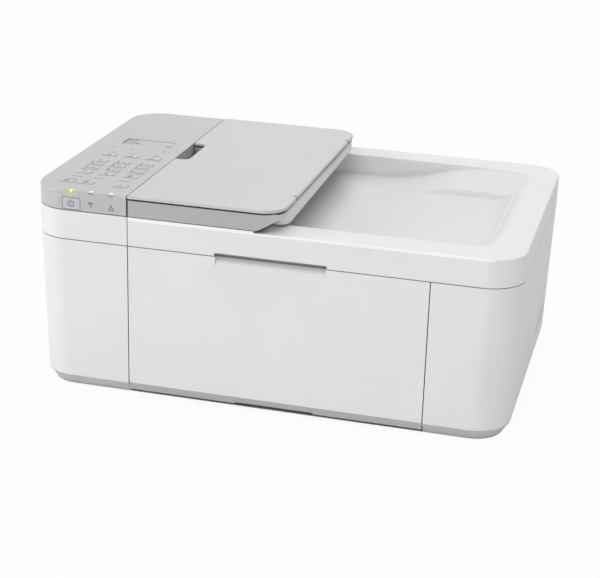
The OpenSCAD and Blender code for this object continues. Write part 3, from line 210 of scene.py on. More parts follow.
def moulded(name, colour, rough, grain=0.0004, relief=0.1, shade=0.015, drift=0.05, blotch=0.06, wear_and_highlight=0.06,
            local=None, crevice_shade=1, **sockets):
    """Moulded plastic: fine spark-eroded grain, slow drift of tone and sheen, convex edges lighter, partly
    worn by handling and partly a painted highlight.

    Crevice shade is painted shade: the share of its tone that the plastic keeps deep in a seam."""
    material = bpy.data.materials.new(name)
    material.use_nodes = True
    tree = material.node_tree
    shader = tree.nodes["Principled BSDF"]
    shader.inputs["IOR"].default_value = 1.48
    for socket, value in sockets.items():
        shader.inputs[socket.replace("_", " ")].default_value = value
    where = tree.nodes.new("ShaderNodeTexCoord").outputs["Object"]

    def noise(size, detail):
        node = tree.nodes.new("ShaderNodeTexNoise")
        node.inputs["Scale"].default_value = 1 / size
        node.inputs["Detail"].default_value = detail
        tree.links.new(where, node.inputs["Vector"])
        return node.outputs["Fac"]

    slow, fine = noise(blotch, 3), noise(grain, 2)
    tone = ramp(tree, slow, (0.3, 0.7), (1 - shade, 1 + shade))
    result = mixed(tree, 1.0, (*colour, 1), tone, "MULTIPLY")
    # Convex edges painted lighter: partly handling wear, partly a painted highlight.
    edge = ramp(tree, tree.nodes.new("ShaderNodeNewGeometry").outputs["Pointiness"], (0.51, 0.58), (0, wear_and_highlight))
    result = mixed(tree, edge, result, (*[min(1, c + 0.25) for c in colour], 1))
    if local:
        result = local(tree, where, result)
    # Painted shade: darkens the colour deep in seams and crevices, by ambient occlusion.
    if crevice_shade < 1:
        near = tree.nodes.new("ShaderNodeAmbientOcclusion")
        near.samples = 4
        near.inputs["Distance"].default_value = CREVICE_SHADE_REACH
        crevice_painted_shade = ramp(tree, near.outputs["AO"], (0.1, 0.85), (crevice_shade, 1))
        result = mixed(tree, 1.0, result, crevice_painted_shade, "MULTIPLY")
    tree.links.new(result, shader.inputs["Base Color"])
    sheen = ramp(tree, mixed(tree, 0.5, slow, fine), (0.3, 0.7), (rough - drift, rough + drift))
    tree.links.new(sheen, shader.inputs["Roughness"])
    bump = tree.nodes.new("ShaderNodeBump")
    bump.inputs["Strength"].default_value = relief
    bump.inputs["Distance"].default_value = grain * 0.4
    tree.links.new(fine, bump.inputs["Height"])
    tree.links.new(bump.outputs["Normal"], shader.inputs["Normal"])
    return material


def axis_of(tree, where, axis):
    split = tree.nodes.new("ShaderNodeSeparateXYZ")
    tree.links.new(where, split.inputs[0])
    return split.outputs[axis]


# Tones placed on the object, in metres. They were set until these places looked as they do in
# the photo, light and shade included, so they stay the same under other lamps.
LAMP_AT = (-0.178, -0.147, 0.188)
GAP_FRONT_Y = (-0.1464, -0.145)
FRAME_TURN_X = (-0.012, 0.009)
SCOOP_X = (-0.0455, 0.0515)
SCOOP_Z = (0.1365, 0.1422)
FRONT_EDGE_Y = (-0.1464, -0.1458)
FRONT_EDGE_Z = (0.1662, 0.1668)
RECESS_TONE_Y = (-0.1155, 0.1195)
RECESS_TONE_END_X = (0.192, 0.194)
RECESS_TONE_TOP_Z = (0.1668, 0.1679)
RECESS_TONE_RISE_X = (0.01, 0.12)
CREASE_Y = (-0.066, 0.052)
LENS_HIGHLIGHT_Z = (0.1875, 0.1877)
LENS_SHADOW_LINE_Z = (0.1867, 0.1869)
# The gap's middle and the two creases, in millimetres
GAP_X = -126.2
END_CREASES = (180.7, 185.2)


def distance_to(tree, where, point):
    far = tree.nodes.new("ShaderNodeVectorMath")
    far.operation = "DISTANCE"
    tree.links.new(where, far.inputs[0])
    far.inputs[1].default_value = point
    return far.outputs["Value"]


def between(tree, where, axis, start, end, soft):
    """1 between two places on an axis, falling off softly outside them."""
    at = axis_of(tree, where, axis)
    rise = ramp(tree, at, (start - soft, start), (0, 1), True)
    fall = ramp(tree, at, (end, end + soft), (1, 0), True)
    return multiplied(tree, rise, fall)


def multiplied(tree, first, second):
    node = tree.nodes.new("ShaderNodeMath")
    node.operation = "MULTIPLY"
    tree.links.new(first, node.inputs[0])
    tree.links.new(second, node.inputs[1])
    return node.outputs[0]


def lamp_halo(tree, where, colour):
    """Green light of the power lamp, scattered in the panel round it."""
    share = ramp(tree, distance_to(tree, where, LAMP_AT), (0.001, 0.007), (0.85, 0), True)
    return mixed(tree, share, colour, (0.64, 0.74, 0.26, 1))


def gap_shade(tree, where, colour):
    """Darkens the turned-in front edges beside the gap between the panel and the feeder."""
    beside = between(tree, where, "X", (GAP_X - 0.7) * MM, (GAP_X + 0.7) * MM, 0.0004)
    front = ramp(tree, axis_of(tree, where, "Y"), GAP_FRONT_Y, (0.85, 0))
    return mixed(tree, multiplied(tree, beside, front), colour, (0.05, 0.05, 0.052, 1))


def panel_tone(tree, where, colour):
    return gap_shade(tree, where, lamp_halo(tree, where, colour))


def painted_light_side(tree, where, colour):
    """Painted light: lightens the feeder's frame from its front to its right side, where light thrown back
    from the white recess falls.
    """
    share = ramp(tree, axis_of(tree, where, "X"), FRAME_TURN_X, (0, 1), True)
    return gap_shade(tree, where, mixed(tree, share, colour, (0.62, 0.622, 0.628, 1)))


def scoop_shade(tree, where, colour):
    """Darkens the finger scoop in the front cover's top edge upwards."""
    across = between(tree, where, "X", *SCOOP_X, 0.0006)
    up = ramp(tree, axis_of(tree, where, "Z"), SCOOP_Z, (0, 0.62), True)
    return mixed(tree, multiplied(tree, across, up), colour, (0.2, 0.2, 0.202, 1))


def edge_light(tree, where, colour):
    """Whitens the cover's rounded front edge, where the photo shows a highlight."""
    front = ramp(tree, axis_of(tree, where, "Y"), FRONT_EDGE_Y, (1, 0))
    high = ramp(tree, axis_of(tree, where, "Z"), FRONT_EDGE_Z, (0, 1))
    return mixed(tree, multiplied(tree, front, high), colour, (1, 1, 1, 1))


def cover_painted_shade(tree, where, colour):
    """Painted shade: darkens the recess below its rim, and its two end creases more."""
    inside = multiplied(tree, between(tree, where, "Y", *RECESS_TONE_Y, 0.001),
                        ramp(tree, axis_of(tree, where, "X"), RECESS_TONE_END_X, (1, 0), True))
    low = ramp(tree, axis_of(tree, where, "Z"), RECESS_TONE_TOP_Z, (1, 0), True)
    deep = ramp(tree, axis_of(tree, where, "X"), RECESS_TONE_RISE_X, (0.1, 1), True)
    share = multiplied(tree, multiplied(tree, inside, low), deep)
    result = mixed(tree, share, colour, (0.752, 0.754, 0.758, 1))
    # Painted shade: darker lines along the two end creases.
    for x in END_CREASES:
        line = multiplied(tree, between(tree, where, "X", (x - 0.3) * MM, (x + 0.3) * MM, 0.0012),
                          between(tree, where, "Y", *CREASE_Y, 0.018))
        result = mixed(tree, multiplied(tree, line, inside), result, (0.67, 0.672, 0.676, 1))
    return edge_light(tree, where, result)


def lens_painted_light(tree, where, colour):
    """Light guides: a painted highlight on top, a painted shadow line under that, and the power lamp's green
    glow.
    """
    height = axis_of(tree, where, "Z")
    pale = ramp(tree, height, LENS_HIGHLIGHT_Z, (0, 1))
    below = ramp(tree, height, LENS_SHADOW_LINE_Z, (0, 1))
    shadowed = mixed(tree, below, colour, (0.1, 0.1, 0.1, 1))
    return lamp_halo(tree, where, mixed(tree, pale, shadowed, (0.9, 0.9, 0.9, 1)))


MATERIALS = {
    "white_case": moulded("white_case", (0.83, 0.832, 0.836), 0.42, crevice_shade=0.38),
    "inner_white": moulded("inner_white", (0.75, 0.755, 0.76), 0.5),
    "base_grey": moulded("base_grey", (0.58, 0.582, 0.587), 0.45, crevice_shade=0.38),
    "panel_grey": moulded("panel_grey", (0.53, 0.532, 0.537), 0.3, shade=0.008, drift=0.02,
                          local=panel_tone, crevice_shade=0.6),
    "feeder_grey": moulded("feeder_grey", (0.6, 0.602, 0.605), 0.3, shade=0.008, drift=0.02, crevice_shade=0.38),
    "key_grey": moulded("key_grey", (0.54, 0.542, 0.547), 0.32, shade=0.008, drift=0.02),
    "lever_grey": moulded("lever_grey", (0.4, 0.405, 0.41), 0.45),
    "dark_plastic": moulded("dark_plastic", (0.1, 0.102, 0.106), 0.5),
    "black_plastic": moulded("black_plastic", (0.03, 0.03, 0.032), 0.4),
    "cartridge_blue": moulded("cartridge_blue", (0.08, 0.14, 0.3), 0.4),
    "foot_rubber": moulded("foot_rubber", (0.045, 0.045, 0.048), 0.75),
    "roller_rubber": moulded("roller_rubber", (0.035, 0.035, 0.037), 0.7, grain=0.0012, relief=0.3),
    "white_foam": moulded("white_foam", (0.82, 0.82, 0.81), 0.8, grain=0.0012, relief=0.5),
    "bright_steel": moulded("bright_steel", (0.62, 0.63, 0.64), 0.3, Metallic=1.0),
    "sheet_steel": moulded("sheet_steel", (0.5, 0.51, 0.52), 0.4, Metallic=1.0),
    "motor_steel": moulded("motor_steel", (0.4, 0.41, 0.42), 0.35, Metallic=1.0),
    "circuit_board": moulded("circuit_board", (0.05, 0.16, 0.08), 0.4, shade=0.15, blotch=0.006),
    "light_guide": moulded("light_guide", (0.5, 0.5, 0.5), 0.25, local=lens_painted_light),
    "clear_glass": moulded("clear_glass", (0.62, 0.72, 0.74), 0.08, relief=0.0, Alpha=0.35),
    "display_glass": moulded("display_glass", (0.5, 0.505, 0.505), 0.2),
}
FEEDER_FRAME = moulded("feeder_frame", (0.45, 0.453, 0.458), 0.3, local=painted_light_side, crevice_shade=0.38)
DOOR_STRIP = moulded("door_strip", (0.47, 0.472, 0.477), 0.42, crevice_shade=0.38)
FRONT_COVER = moulded("front_cover", (0.83, 0.832, 0.836), 0.42, local=scoop_shade, crevice_shade=0.38)
COVER = moulded("moulded_cover", (0.83, 0.832, 0.836), 0.42, local=cover_painted_shade, crevice_shade=0.38)
INK = moulded("ink", (0.06, 0.06, 0.063), 0.5, wear_and_highlight=0)
PALE_INK = moulded("pale_ink", (0.2, 0.205, 0.215), 0.5, wear_and_highlight=0)
BLUE_INK = moulded("blue_ink", (0.12, 0.135, 0.17), 0.5, wear_and_highlight=0)
RED_INK = moulded("red_ink", (0.6, 0.28, 0.28), 0.5, wear_and_highlight=0)
POWER_BUTTON = moulded("power_button", (0.55, 0.55, 0.59), 0.3, shade=0.008, drift=0.02, crevice_shade=0.6)
SLOT_OF = {s["node"]: s["material_slot"] for s in frame["record"]["subparts"]}

for name, node in nodes.items():
    node.data.materials.clear()
    node.data.materials.append(MATERIALS[SLOT_OF[name]])
nodes["adf_frame"].data.materials[0] = FEEDER_FRAME
nodes["door_strip"].data.materials[0] = DOOR_STRIP
nodes["front_cover"].data.materials[0] = FRONT_COVER
nodes["power_button"].data.materials[0] = POWER_BUTTON


def make_lens_material():
    """Light guides: the one over the power button shines green, the others are dark."""
    material = MATERIALS["light_guide"]
    tree = material.node_tree
    shader = tree.nodes["Principled BSDF"]
    where = tree.nodes.new("ShaderNodeTexCoord").outputs["Object"]
    glow = ramp(tree, distance_to(tree, where, LAMP_AT), (0.0003, 0.0014), (2.2, 0), True)
    shader.inputs["Emission Color"].default_value = (0.72, 1.0, 0.3, 1)
    tree.links.new(glow, shader.inputs["Emission Strength"])


make_lens_material()

# ---------------------------------------------------------------- edges of the CAD pieces


def node_group(name, build):
    tree = bpy.data.node_groups.new(name, "GeometryNodeTree")
    tree.interface.new_socket("Geometry", in_out="INPUT", socket_type="NodeSocketGeometry")
    tree.interface.new_socket("Geometry", in_out="OUTPUT", socket_type="NodeSocketGeometry")
    enter = tree.nodes.new("NodeGroupInput")
    leave = tree.nodes.new("NodeGroupOutput")
    tree.links.new(build(tree, enter.outputs[0]), leave.inputs[0])
    return tree


def drop_normals(tree, geometry):
    node = tree.nodes.new("GeometryNodeRemoveAttribute")
    node.inputs["Name"].default_value = "custom_normal"
    tree.links.new(geometry, node.inputs["Geometry"])
    return node.outputs["Geometry"]


def smooth_faces(tree, geometry):
    faces = tree.nodes.new("GeometryNodeSetShadeSmooth")
    faces.domain = "FACE"
    tree.links.new(geometry, faces.inputs["Geometry"])
    edges = tree.nodes.new("GeometryNodeSetShadeSmooth")
    edges.domain = "EDGE"
    edges.inputs["Shade Smooth"].default_value = False
    sharp = tree.nodes.new("FunctionNodeCompare")
    sharp.data_type = "FLOAT"
    sharp.operation = "GREATER_THAN"
    sharp.inputs["B"].default_value = math.radians(32)
    angle = tree.nodes.new("GeometryNodeInputMeshEdgeAngle")
    tree.links.new(angle.outputs["Unsigned Angle"], sharp.inputs["A"])
    tree.links.new(sharp.outputs["Result"], edges.inputs["Selection"])
    tree.links.new(faces.outputs["Geometry"], edges.inputs["Geometry"])
    return edges.outputs["Geometry"]


PLAIN = node_group("plain_normals", drop_normals)
SMOOTH = node_group("smooth_by_angle", smooth_faces)


def finish_normals(obj):
    """Sharp edges where faces turn, and flat faces that stay flat beside rounded ones."""
    obj.modifiers.new("smooth", "NODES").node_group = SMOOTH
    even = obj.modifiers.new("even", "WEIGHTED_NORMAL")
    even.keep_sharp = True
    even.mode = "FACE_AREA"


def soften(name, width, segments=2, limit=40):
    """Rounds the edges of a CAD piece, whose own mesh stays as it is."""
    node = nodes[name]
    node.modifiers.new("plain", "NODES").node_group = PLAIN
    weld = node.modifiers.new("weld", "WELD")
    weld.merge_threshold = 0.002 * MM
    flat = node.modifiers.new("flat", "DECIMATE")
    flat.decimate_type = "DISSOLVE"
    flat.angle_limit = math.radians(0.3)
    bevel = node.modifiers.new("bevel", "BEVEL")
    bevel.width = width * MM
    bevel.segments = segments
    bevel.limit_method = "ANGLE"
    bevel.angle_limit = math.radians(limit)
    bevel.use_clamp_overlap = False
    finish_normals(node)


SOFT_EDGES = {
    "left_side_cover": 0.35, "right_side_cover": 0.35, "rear_cover": 0.35, "base_pan": 0.4,
    "operation_panel": 0.3,
    "front_cover": 0.4, "door_strip": 0.35, "power_button": 0.25, "lcd_window": 0.15,
    "inner_cover": 0.3, "left_paper_guide": 0.3, "right_paper_guide": 0.3, "output_extension": 0.3,
    "carriage": 0.25, "black_latch": 0.25, "colour_latch": 0.25, "scanner_frame": 0.3,
    "front_document_guide": 0.3, "rear_document_guide": 0.3,
}
for name, width in SOFT_EDGES.items():
    soften(name, width)
for name in nodes:
    if name.startswith("key_") or name.endswith("_key"):
        soften(name, 0.15)
for name in ("panel_housing", "adf_frame"):
    finish_normals(nodes[name])

# ---------------------------------------------------------------- new pieces


def piece(name, mesh, body, material):
    obj = bpy.data.objects.new(name, mesh)
    bpy.context.scene.collection.objects.link(obj)
    mesh.materials.clear()
    mesh.materials.append(material)
    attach(obj, body)
    return obj


def body_of(node):
    return nodes[node]["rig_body"]


def plain_copy(node):
    """Editable copy of a CAD piece with its flat faces whole."""
    bm = bmesh.new()
    bm.from_mesh(nodes[node].data)
    bmesh.ops.remove_doubles(bm, verts=bm.verts, dist=0.002 * MM)
    bmesh.ops.dissolve_limit(bm, angle_limit=math.radians(0.3), verts=bm.verts, edges=bm.edges)
    return bm


def round_edges(bm, chosen, width, segments):
    sharp = [e for e in bm.edges if e.calc_face_angle(0) > math.radians(40)]
    edges = [e for e in sharp if chosen(*[v.co / MM for v in e.verts])]
    bmesh.ops.bevel(bm, geom=edges, offset=width * MM, segments=segments, profile=0.5, affect="EDGES",
                    clamp_overlap=False)


# ---------------------------------------------------------------- document cover

RECESS_L, RECESS_R, RECESS_F, RECESS_B = -46.2, 194.0, -116.5, 120.0
RECESS_CORNER = 20
LOW = RIM - 21.2
LEDGE_Y = 48
LEDGE_LEAN = math.tan(math.radians(1.8))


def climb(t):
    t = np.clip(t, 0, 1)
    return t * t * t * (t * (6 * t - 15) + 10)


def floor_at(x):
    """Floor of the output recess, which climbs to the right in one long wave."""
    return LOW + 14 * climb((x + 6.2) / 174.2)


def ledge_at(x, y):
    """Ledge at the recess's back right, which leans back a little."""
    return LOW + 17 * climb((x - 37.8) / 112.2) + (y - LEDGE_Y) * LEDGE_LEAN


def solid_floor(x, y):
    """The recess as the CAD cover has it."""
    low = np.where(x > 168, RIM - 7.2 + 6.2 * climb((x - 168) / 22), floor_at(x))
    return np.where((y > LEDGE_Y + 1.2) & (x > 37.8), np.maximum(low, ledge_at(x, y)), low)


def soft_max(a, b, k):
    return 0.5 * (a + b + np.sqrt((a - b) ** 2 + k * k))


def sculpted_floor(x, y):
    """Floor, ledge with its front ridge, and the two soft steps of the right end."""
    low = floor_at(x)
    y_front = 52 - 0.122 * (x - 98)
    up = climb((y - y_front + 3) / 6)
    raised = soft_max(ledge_at(x, y), low, 0.8)
    z = low + (raised - low) * up
    z += 1.4 * np.exp(-((y - y_front - 1.6) / 1.7) ** 2) * climb((x - 88) / 16) * climb((186 - x) / 8)
    stepped = 4 * climb((x - 172) / 9) + 2.1 * climb((x - 185) / 5)
    plain = 6 * climb((x - 166) / 27)
    fade = climb((y + 100) / 55)
    return soft_max(z, low + fade * stepped + (1 - fade) * plain, 0.5)


def wall_depth(x, y):
    """How much of its depth the recess has here: 0 on its outline, 1 beyond its wall."""
    r = RECESS_CORNER
    dx = np.minimum(RECESS_R - x, x - RECESS_L)
    dy = np.minimum(y - RECESS_F, RECESS_B - y)
    corner = (RECESS_R - x < r) & (dy < r)
    inside = np.where(corner, r - np.hypot(r - (RECESS_R - x), r - dy), np.minimum(dx, dy))
    sides = (
        (RECESS_B - y, 3.2 + 5 * climb((x - 135) / 35)),
        (y - RECESS_F, 3 + 24 * climb((x - 85) / 70)),
        (RECESS_R - x, 6 + 14 * climb((-50 - y) / 50)),
        (x - RECESS_L, 1.0 + 0 * x),
    )
    weights = [1 / (np.maximum(side, 0) + 0.5) ** 4 for side, _ in sides]
    width = sum(w * side[1] for w, side in zip(weights, sides)) / sum(weights)
    t = np.clip(inside / width, 0, 1)
    return 1 - (1 - t) ** 4 * (1 + 4 * t)


def sculpted(x, y):
    above = RIM + 0.012
    return above - (above - sculpted_floor(x, y) + 0.02) * wall_depth(x, y)


def grid_block(name, xs, ys, height, top):
    """Closed block under a flat top whose underside follows a height over a grid."""
    gx, gy = np.meshgrid(xs, ys, indexing="ij")
    gz = height(gx, gy)
    nx, ny = len(xs), len(ys)
    points = np.stack([gx, gy, gz], -1).reshape(-1, 3) * MM
    at = lambda i, j: i * ny + j
    faces = [(at(i, j), at(i, j + 1), at(i + 1, j + 1), at(i + 1, j))
             for i in range(nx - 1) for j in range(ny - 1)]
    ring = [at(i, 0) for i in range(nx)] + [at(nx - 1, j) for j in range(1, ny)]
    ring += [at(i, ny - 1) for i in range(nx - 2, -1, -1)] + [at(0, j) for j in range(ny - 2, 0, -1)]
    lid = [(points[k][0], points[k][1], top * MM) for k in ring]
    base = len(points)
    count = len(ring)
    for k in range(count):
        n = (k + 1) % count
        faces.append((ring[k], ring[n], base + n, base + k))
    faces.append(tuple(base + k for k in range(count)))
    mesh = bpy.data.meshes.new(name)
    mesh.from_pydata([tuple(p) for p in points] + lid, [], faces)
    bm = bmesh.new()
    bm.from_mesh(mesh)
    bmesh.ops.recalc_face_normals(bm, faces=bm.faces)
    bmesh.ops.triangulate(bm, faces=bm.faces)
    bm.to_mesh(mesh)
    bm.free()
    obj = bpy.data.objects.new(name, mesh)
    bpy.context.scene.collection.objects.link(obj)
    return obj


def spread(start, end, step, fine=(), reach=4, small=0.35):
    """Grid places from start to end, closer together near the fine ones."""
    places, at = [start], start
    while at < end:
        near = any(abs(at - f) < reach for f in fine)
        at += small if near else step
        places.append(min(at, end))
    if len(places) > 2 and places[-1] - places[-2] < small / 2:
        places.pop(-2)
    return np.array(places)


def cover_mesh():
    """The cover's own solid with rounded outer edges, its recess filled and carved anew."""
    bm = plain_copy("document_cover")

    def outer(at):
        x, y = at.x, at.y
        corner = x > RIGHT - 32.2 and abs(y) > BACK - 32.2
        if corner:
            return abs(math.hypot(x - (RIGHT - 32), abs(y) - (BACK - 32)) - 32) < 0.1
        return x > RIGHT - 0.05 or abs(y) > BACK - 0.05

    round_edges(bm, lambda a, b: all(abs(v.z - RIM) < 0.001 and outer(v) for v in (a, b)), 1.3, 4)
    bmesh.ops.triangulate(bm, faces=bm.faces)
    base = bpy.data.meshes.new("document_cover_base")
    bm.to_mesh(base)
    bm.free()
    cover = bpy.data.objects.new("cover_base", base)
    bpy.context.scene.collection.objects.link(cover)
    ys = spread(RECESS_F - 1.2, RECESS_B + 1.2, 3, (LEDGE_Y + 1.2,), 1, 0.2)
    filler = grid_block("filler", spread(RECESS_L + 0.5, RECESS_R + 1.2, 3), ys,
                        lambda x, y: solid_floor(x, y) - 1.2, RIM - 0.004)
    xs = spread(RECESS_L + 0.4, RECESS_R + 1.5, 2.2, (RECESS_R,), 3, 0.6)
    ys = spread(RECESS_F - 1.5, RECESS_B + 1.5, 2.2, (RECESS_F, RECESS_B - 1), 4.5, 0.35)
    cutter = grid_block("cutter", xs, ys, sculpted, RIM + 7)
    for tool, operation in ((filler, "UNION"), (cutter, "DIFFERENCE")):
        step = cover.modifiers.new(operation, "BOOLEAN")
        step.operation = operation
        step.object = tool
        step.solver = "MANIFOLD"
    shown = cover.evaluated_get(bpy.context.evaluated_depsgraph_get())
    mesh = bpy.data.meshes.new_from_object(shown)
    for obj in (cover, filler, cutter):
        bpy.data.objects.remove(obj)
    bm = bmesh.new()
    bm.from_mesh(mesh)
    bmesh.ops.remove_doubles(bm, verts=bm.verts, dist=0.001 * MM)
    bm.to_mesh(mesh)
    bm.free()
    return mesh


cover = piece("moulded_cover", cover_mesh(), body_of("document_cover"), COVER)
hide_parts("document_cover")
finish_normals(cover)

# ---------------------------------------------------------------- document tray

TRAY_Z = 186.0
TRAY_EARS = ((-101.5, -97.5), (92.0, 96.0))
BEAD_R, BEAD_RIGHT = 2.0, 12.55
BEAD_ENDS = ((-126.5, -1), (111.0, 1))
LID_CORNER = 21


def lid_edge(a, b):
    """Outline edges of the lid's top and underside, clear of its hinge ears."""
    at_ear = any(lo - 1.5 < v.y < hi + 1.5 and v.x > 5 for v in (a, b) for lo, hi in TRAY_EARS)
    flat = any(abs(a.z - z) < 0.001 and abs(b.z - z) < 0.001 for z in (TOP, TRAY_Z))
    return flat and not at_ear and max(a.x, b.x) < 10.6


def block(bm, low, high):
    """Plain block inside the piece that it fills out."""
    corners = [(x, y, z) for x in (low[0], high[0]) for y in (low[1], high[1]) for z in (low[2], high[2])]
    points = [bm.verts.new(Vector(c) * MM) for c in corners]
    for face in ((0, 1, 3, 2), (4, 6, 7, 5), (0, 4, 5, 1), (2, 3, 7, 6), (0, 2, 6, 4), (1, 5, 7, 3)):
        bm.faces.new([points[k] for k in face])


def bead_end(bm, y, side):
    """Turns the end of the lid's round bead into the lid's corner."""
    steps, sections = 16, 9
    rows = []
    for k in range(sections):
        share = k / (sections - 1)
        turn = side * math.radians(34) * share
        r = BEAD_R - 0.5 * share
        outward = Vector((math.cos(turn), math.sin(turn)))
        middle = Vector((BEAD_RIGHT - LID_CORNER, y)) + (LID_CORNER - r) * outward
        row = []
        for n in range(steps):
            around = 2 * math.pi * n / steps
            out = r * math.cos(around)
            row.append(bm.verts.new(Vector((middle.x + out * math.cos(turn), middle.y + out * math.sin(turn),
                                            TOP - r + r * math.sin(around) - 0.01)) * MM))
        rows.append(row)
    for a, b in zip(rows, rows[1:]):
        for n in range(steps):
            bm.faces.new((a[n], a[(n + 1) % steps], b[(n + 1) % steps], b[n]))
    bm.faces.new(rows[0])
    bm.faces.new(rows[-1][::-1])


def tray_mesh():
    bm = plain_copy("document_tray")
    round_edges(bm, lid_edge, 0.7, 3)
    for low, high in TRAY_EARS:
        block(bm, (8.4, low - 1.4, TOP - 0.5), (10.0, high + 1.4, TOP - 0.02))
    for y, side in BEAD_ENDS:
        bead_end(bm, y, side)
    bmesh.ops.recalc_face_normals(bm, faces=bm.faces)
    mesh = bpy.data.meshes.new("lid")
    bm.to_mesh(mesh)
    bm.free()
    return mesh


lid = piece("moulded_lid", tray_mesh(), body_of("document_tray"),
            MATERIALS[SLOT_OF["document_tray"]])
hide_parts("document_tray")
finish_normals(lid)

# ---------------------------------------------------------------- feeder's side wall and slot back

SIDE_X = 11.5
SIDE_FRONT, SIDE_START, SIDE_BACK = -124.0, -1.0, 111.0
FRONT_CORNER, BACK_CORNER = 9.5, 20.95
SIDE_TOP = 181.0
SIDE_BOTTOM = (169.9, 174.2)
SIDE_WALL = 1.6


def swept(name, path, profile):
    """Closed mesh that carries a flat profile along a level path of places with their outward turns."""
    bm = bmesh.new()
    rows = []
    for x, y, turn in path:
        row = []
        for inward, z in profile(y):
            place = Vector((x - inward * math.cos(turn), y - inward * math.sin(turn), z))
            row.append(bm.verts.new(place * MM))
        rows.append(row)
    count = len(rows[0])
    for a, b in zip(rows, rows[1:]):
        for k in range(count):
            bm.faces.new((a[k], a[(k + 1) % count], b[(k + 1) % count], b[k]))
    bm.faces.new(rows[0])
    bm.faces.new(rows[-1][::-1])
    bmesh.ops.recalc_face_normals(bm, faces=bm.faces)
    mesh = bpy.data.meshes.new(name)
    bm.to_mesh(mesh)
    bm.free()
    return mesh


def side_path():
    """Right side of the feeder, from its front corner to its back one."""
    path = [(SIDE_START, SIDE_FRONT, -math.pi / 2)]
    front = (SIDE_FRONT + FRONT_CORNER, FRONT_CORNER, -90, 0)
    back = (SIDE_BACK, BACK_CORNER, 0, 62)
    for y, r, start, end in (front, back):
        for k in range(13):
            turn = math.radians(start + (end - start) * k / 12)
            path.append((SIDE_X - r * (1 - math.cos(turn)), y + r * math.sin(turn), turn))
    return path


def side_profile(y):
    share = (y - SIDE_FRONT) / (SIDE_BACK - SIDE_FRONT)
    low = SIDE_BOTTOM[0] + (SIDE_BOTTOM[1] - SIDE_BOTTOM[0]) * share
    return [(0, SIDE_TOP), (0, low + 0.5), (0.15, low + 0.15), (0.5, low), (SIDE_WALL - 0.2, low),
            (SIDE_WALL, low + 0.2), (SIDE_WALL, SIDE_TOP)]


side = piece("feeder_side", swept("feeder_side", side_path(), side_profile), body_of("adf_frame"),
             MATERIALS["white_case"])
finish_normals(side)

SLOT_ENDS = (-47.0, 53.0)
SLOT_BACK_Y = -141.0


def slot_profile(y):
    return [(0, 145.4), (0, 138.4), (0.3, 138.0), (1.2, 138.0), (1.5, 138.3), (1.5, 145.6), (0.3, 145.6)]


slot_path = [(x, SLOT_BACK_Y, -math.pi / 2) for x in (SLOT_ENDS[0] - 2, SLOT_ENDS[1] + 2)]
slot_back = piece("slot_back", swept("slot_back", slot_path, slot_profile), body_of("scanner_frame"),
                  MATERIALS["inner_white"])
finish_normals(slot_back)


# ---------------------------------------------------------------- printed marks

INK_T = 0.014


def on_top(z):
    return Matrix.Translation((0, 0, z))


def on_front(y):
    return Matrix(((1, 0, 0, 0), (0, 0, -1, y), (0, 1, 0, 0), (0, 0, 0, 1)))


def prism(bm, points, place):
    """Filled mark between a hair under the surface and a hair above it."""
    low = [bm.verts.new(place @ Vector((u, v, -INK_T))) for u, v in points]
    high = [bm.verts.new(place @ Vector((u, v, INK_T))) for u, v in points]
    bm.faces.new(low[::-1])
    bm.faces.new(high)
    for i in range(len(points)):
        n = (i + 1) % len(points)
        bm.faces.new((low[i], low[n], high[n], high[i]))


def stroke(bm, points, width, place, closed=False):
    """Line of even width through flat points."""
    count = len(points)
    rows = []
    for i, point in enumerate(points):
        here = Vector(point)
        back = Vector(points[i - 1]) if closed or i else here
        ahead = Vector(points[(i + 1) % count]) if closed or i < count - 1 else here
        runs = [(b - a).normalized() for a, b in ((back, here), (here, ahead)) if (b - a).length > 1e-9]
        run = sum(runs, Vector((0, 0))).normalized()
        stretch = 1 / max(0.4, run.dot(runs[0]))
        side = Vector((-run.y, run.x)) * width / 2 * stretch
        row = []
        for offset, level in ((side, -INK_T), (-side, -INK_T), (-side, INK_T), (side, INK_T)):
            at = here + offset
            row.append(bm.verts.new(place @ Vector((at.x, at.y, level))))
        rows.append(row)
    pairs = list(zip(rows, rows[1:])) + ([(rows[-1], rows[0])] if closed else [])
    for a, b in pairs:
        for k in range(4):
            bm.faces.new((a[k], a[(k + 1) % 4], b[(k + 1) % 4], b[k]))
    if not closed:
        bm.faces.new(rows[0])
        bm.faces.new(rows[-1][::-1])


def letters(bm, text, size, at, place, weight=0.13):
    curve = bpy.data.curves.new("letters", "FONT")
    curve.body = text
    curve.size = size
    curve.align_x = "CENTER"
    curve.align_y = "CENTER"
    curve.extrude = INK_T
    curve.offset = weight
    curve.resolution_u = 3
    obj = bpy.data.objects.new("letters", curve)
    bpy.context.scene.collection.objects.link(obj)
    mesh = bpy.data.meshes.new_from_object(obj.evaluated_get(bpy.context.evaluated_depsgraph_get()))
    mesh.transform(place @ Matrix.Translation((*at, 0)))
    bm.from_mesh(mesh)
    bpy.data.objects.remove(obj)
    bpy.data.curves.remove(curve)
    bpy.data.meshes.remove(mesh)


def arc(at, r, start, end, steps=14):
    return [(at[0] + r * math.cos(math.radians(start + (end - start) * i / steps)),
             at[1] + r * math.sin(math.radians(start + (end - start) * i / steps))) for i in range(steps + 1)]


def ring(at, r, steps=20):
    return arc(at, r, 0, 360, steps)[:-1]


def box_line(x0, y0, x1, y1):
    return [(x0, y0), (x1, y0), (x1, y1), (x0, y1)]


def print_piece(name, body, material, draw):
    bm = bmesh.new()
    draw(bm)
    bmesh.ops.remove_doubles(bm, verts=bm.verts, dist=1e-5)
    bmesh.ops.recalc_face_normals(bm, faces=bm.faces)
    mesh = bpy.data.meshes.new(name)
    bm.to_mesh(mesh)
    bm.free()
    mesh.transform(Matrix.Scale(MM, 4))
    return piece(name, mesh, body, material)


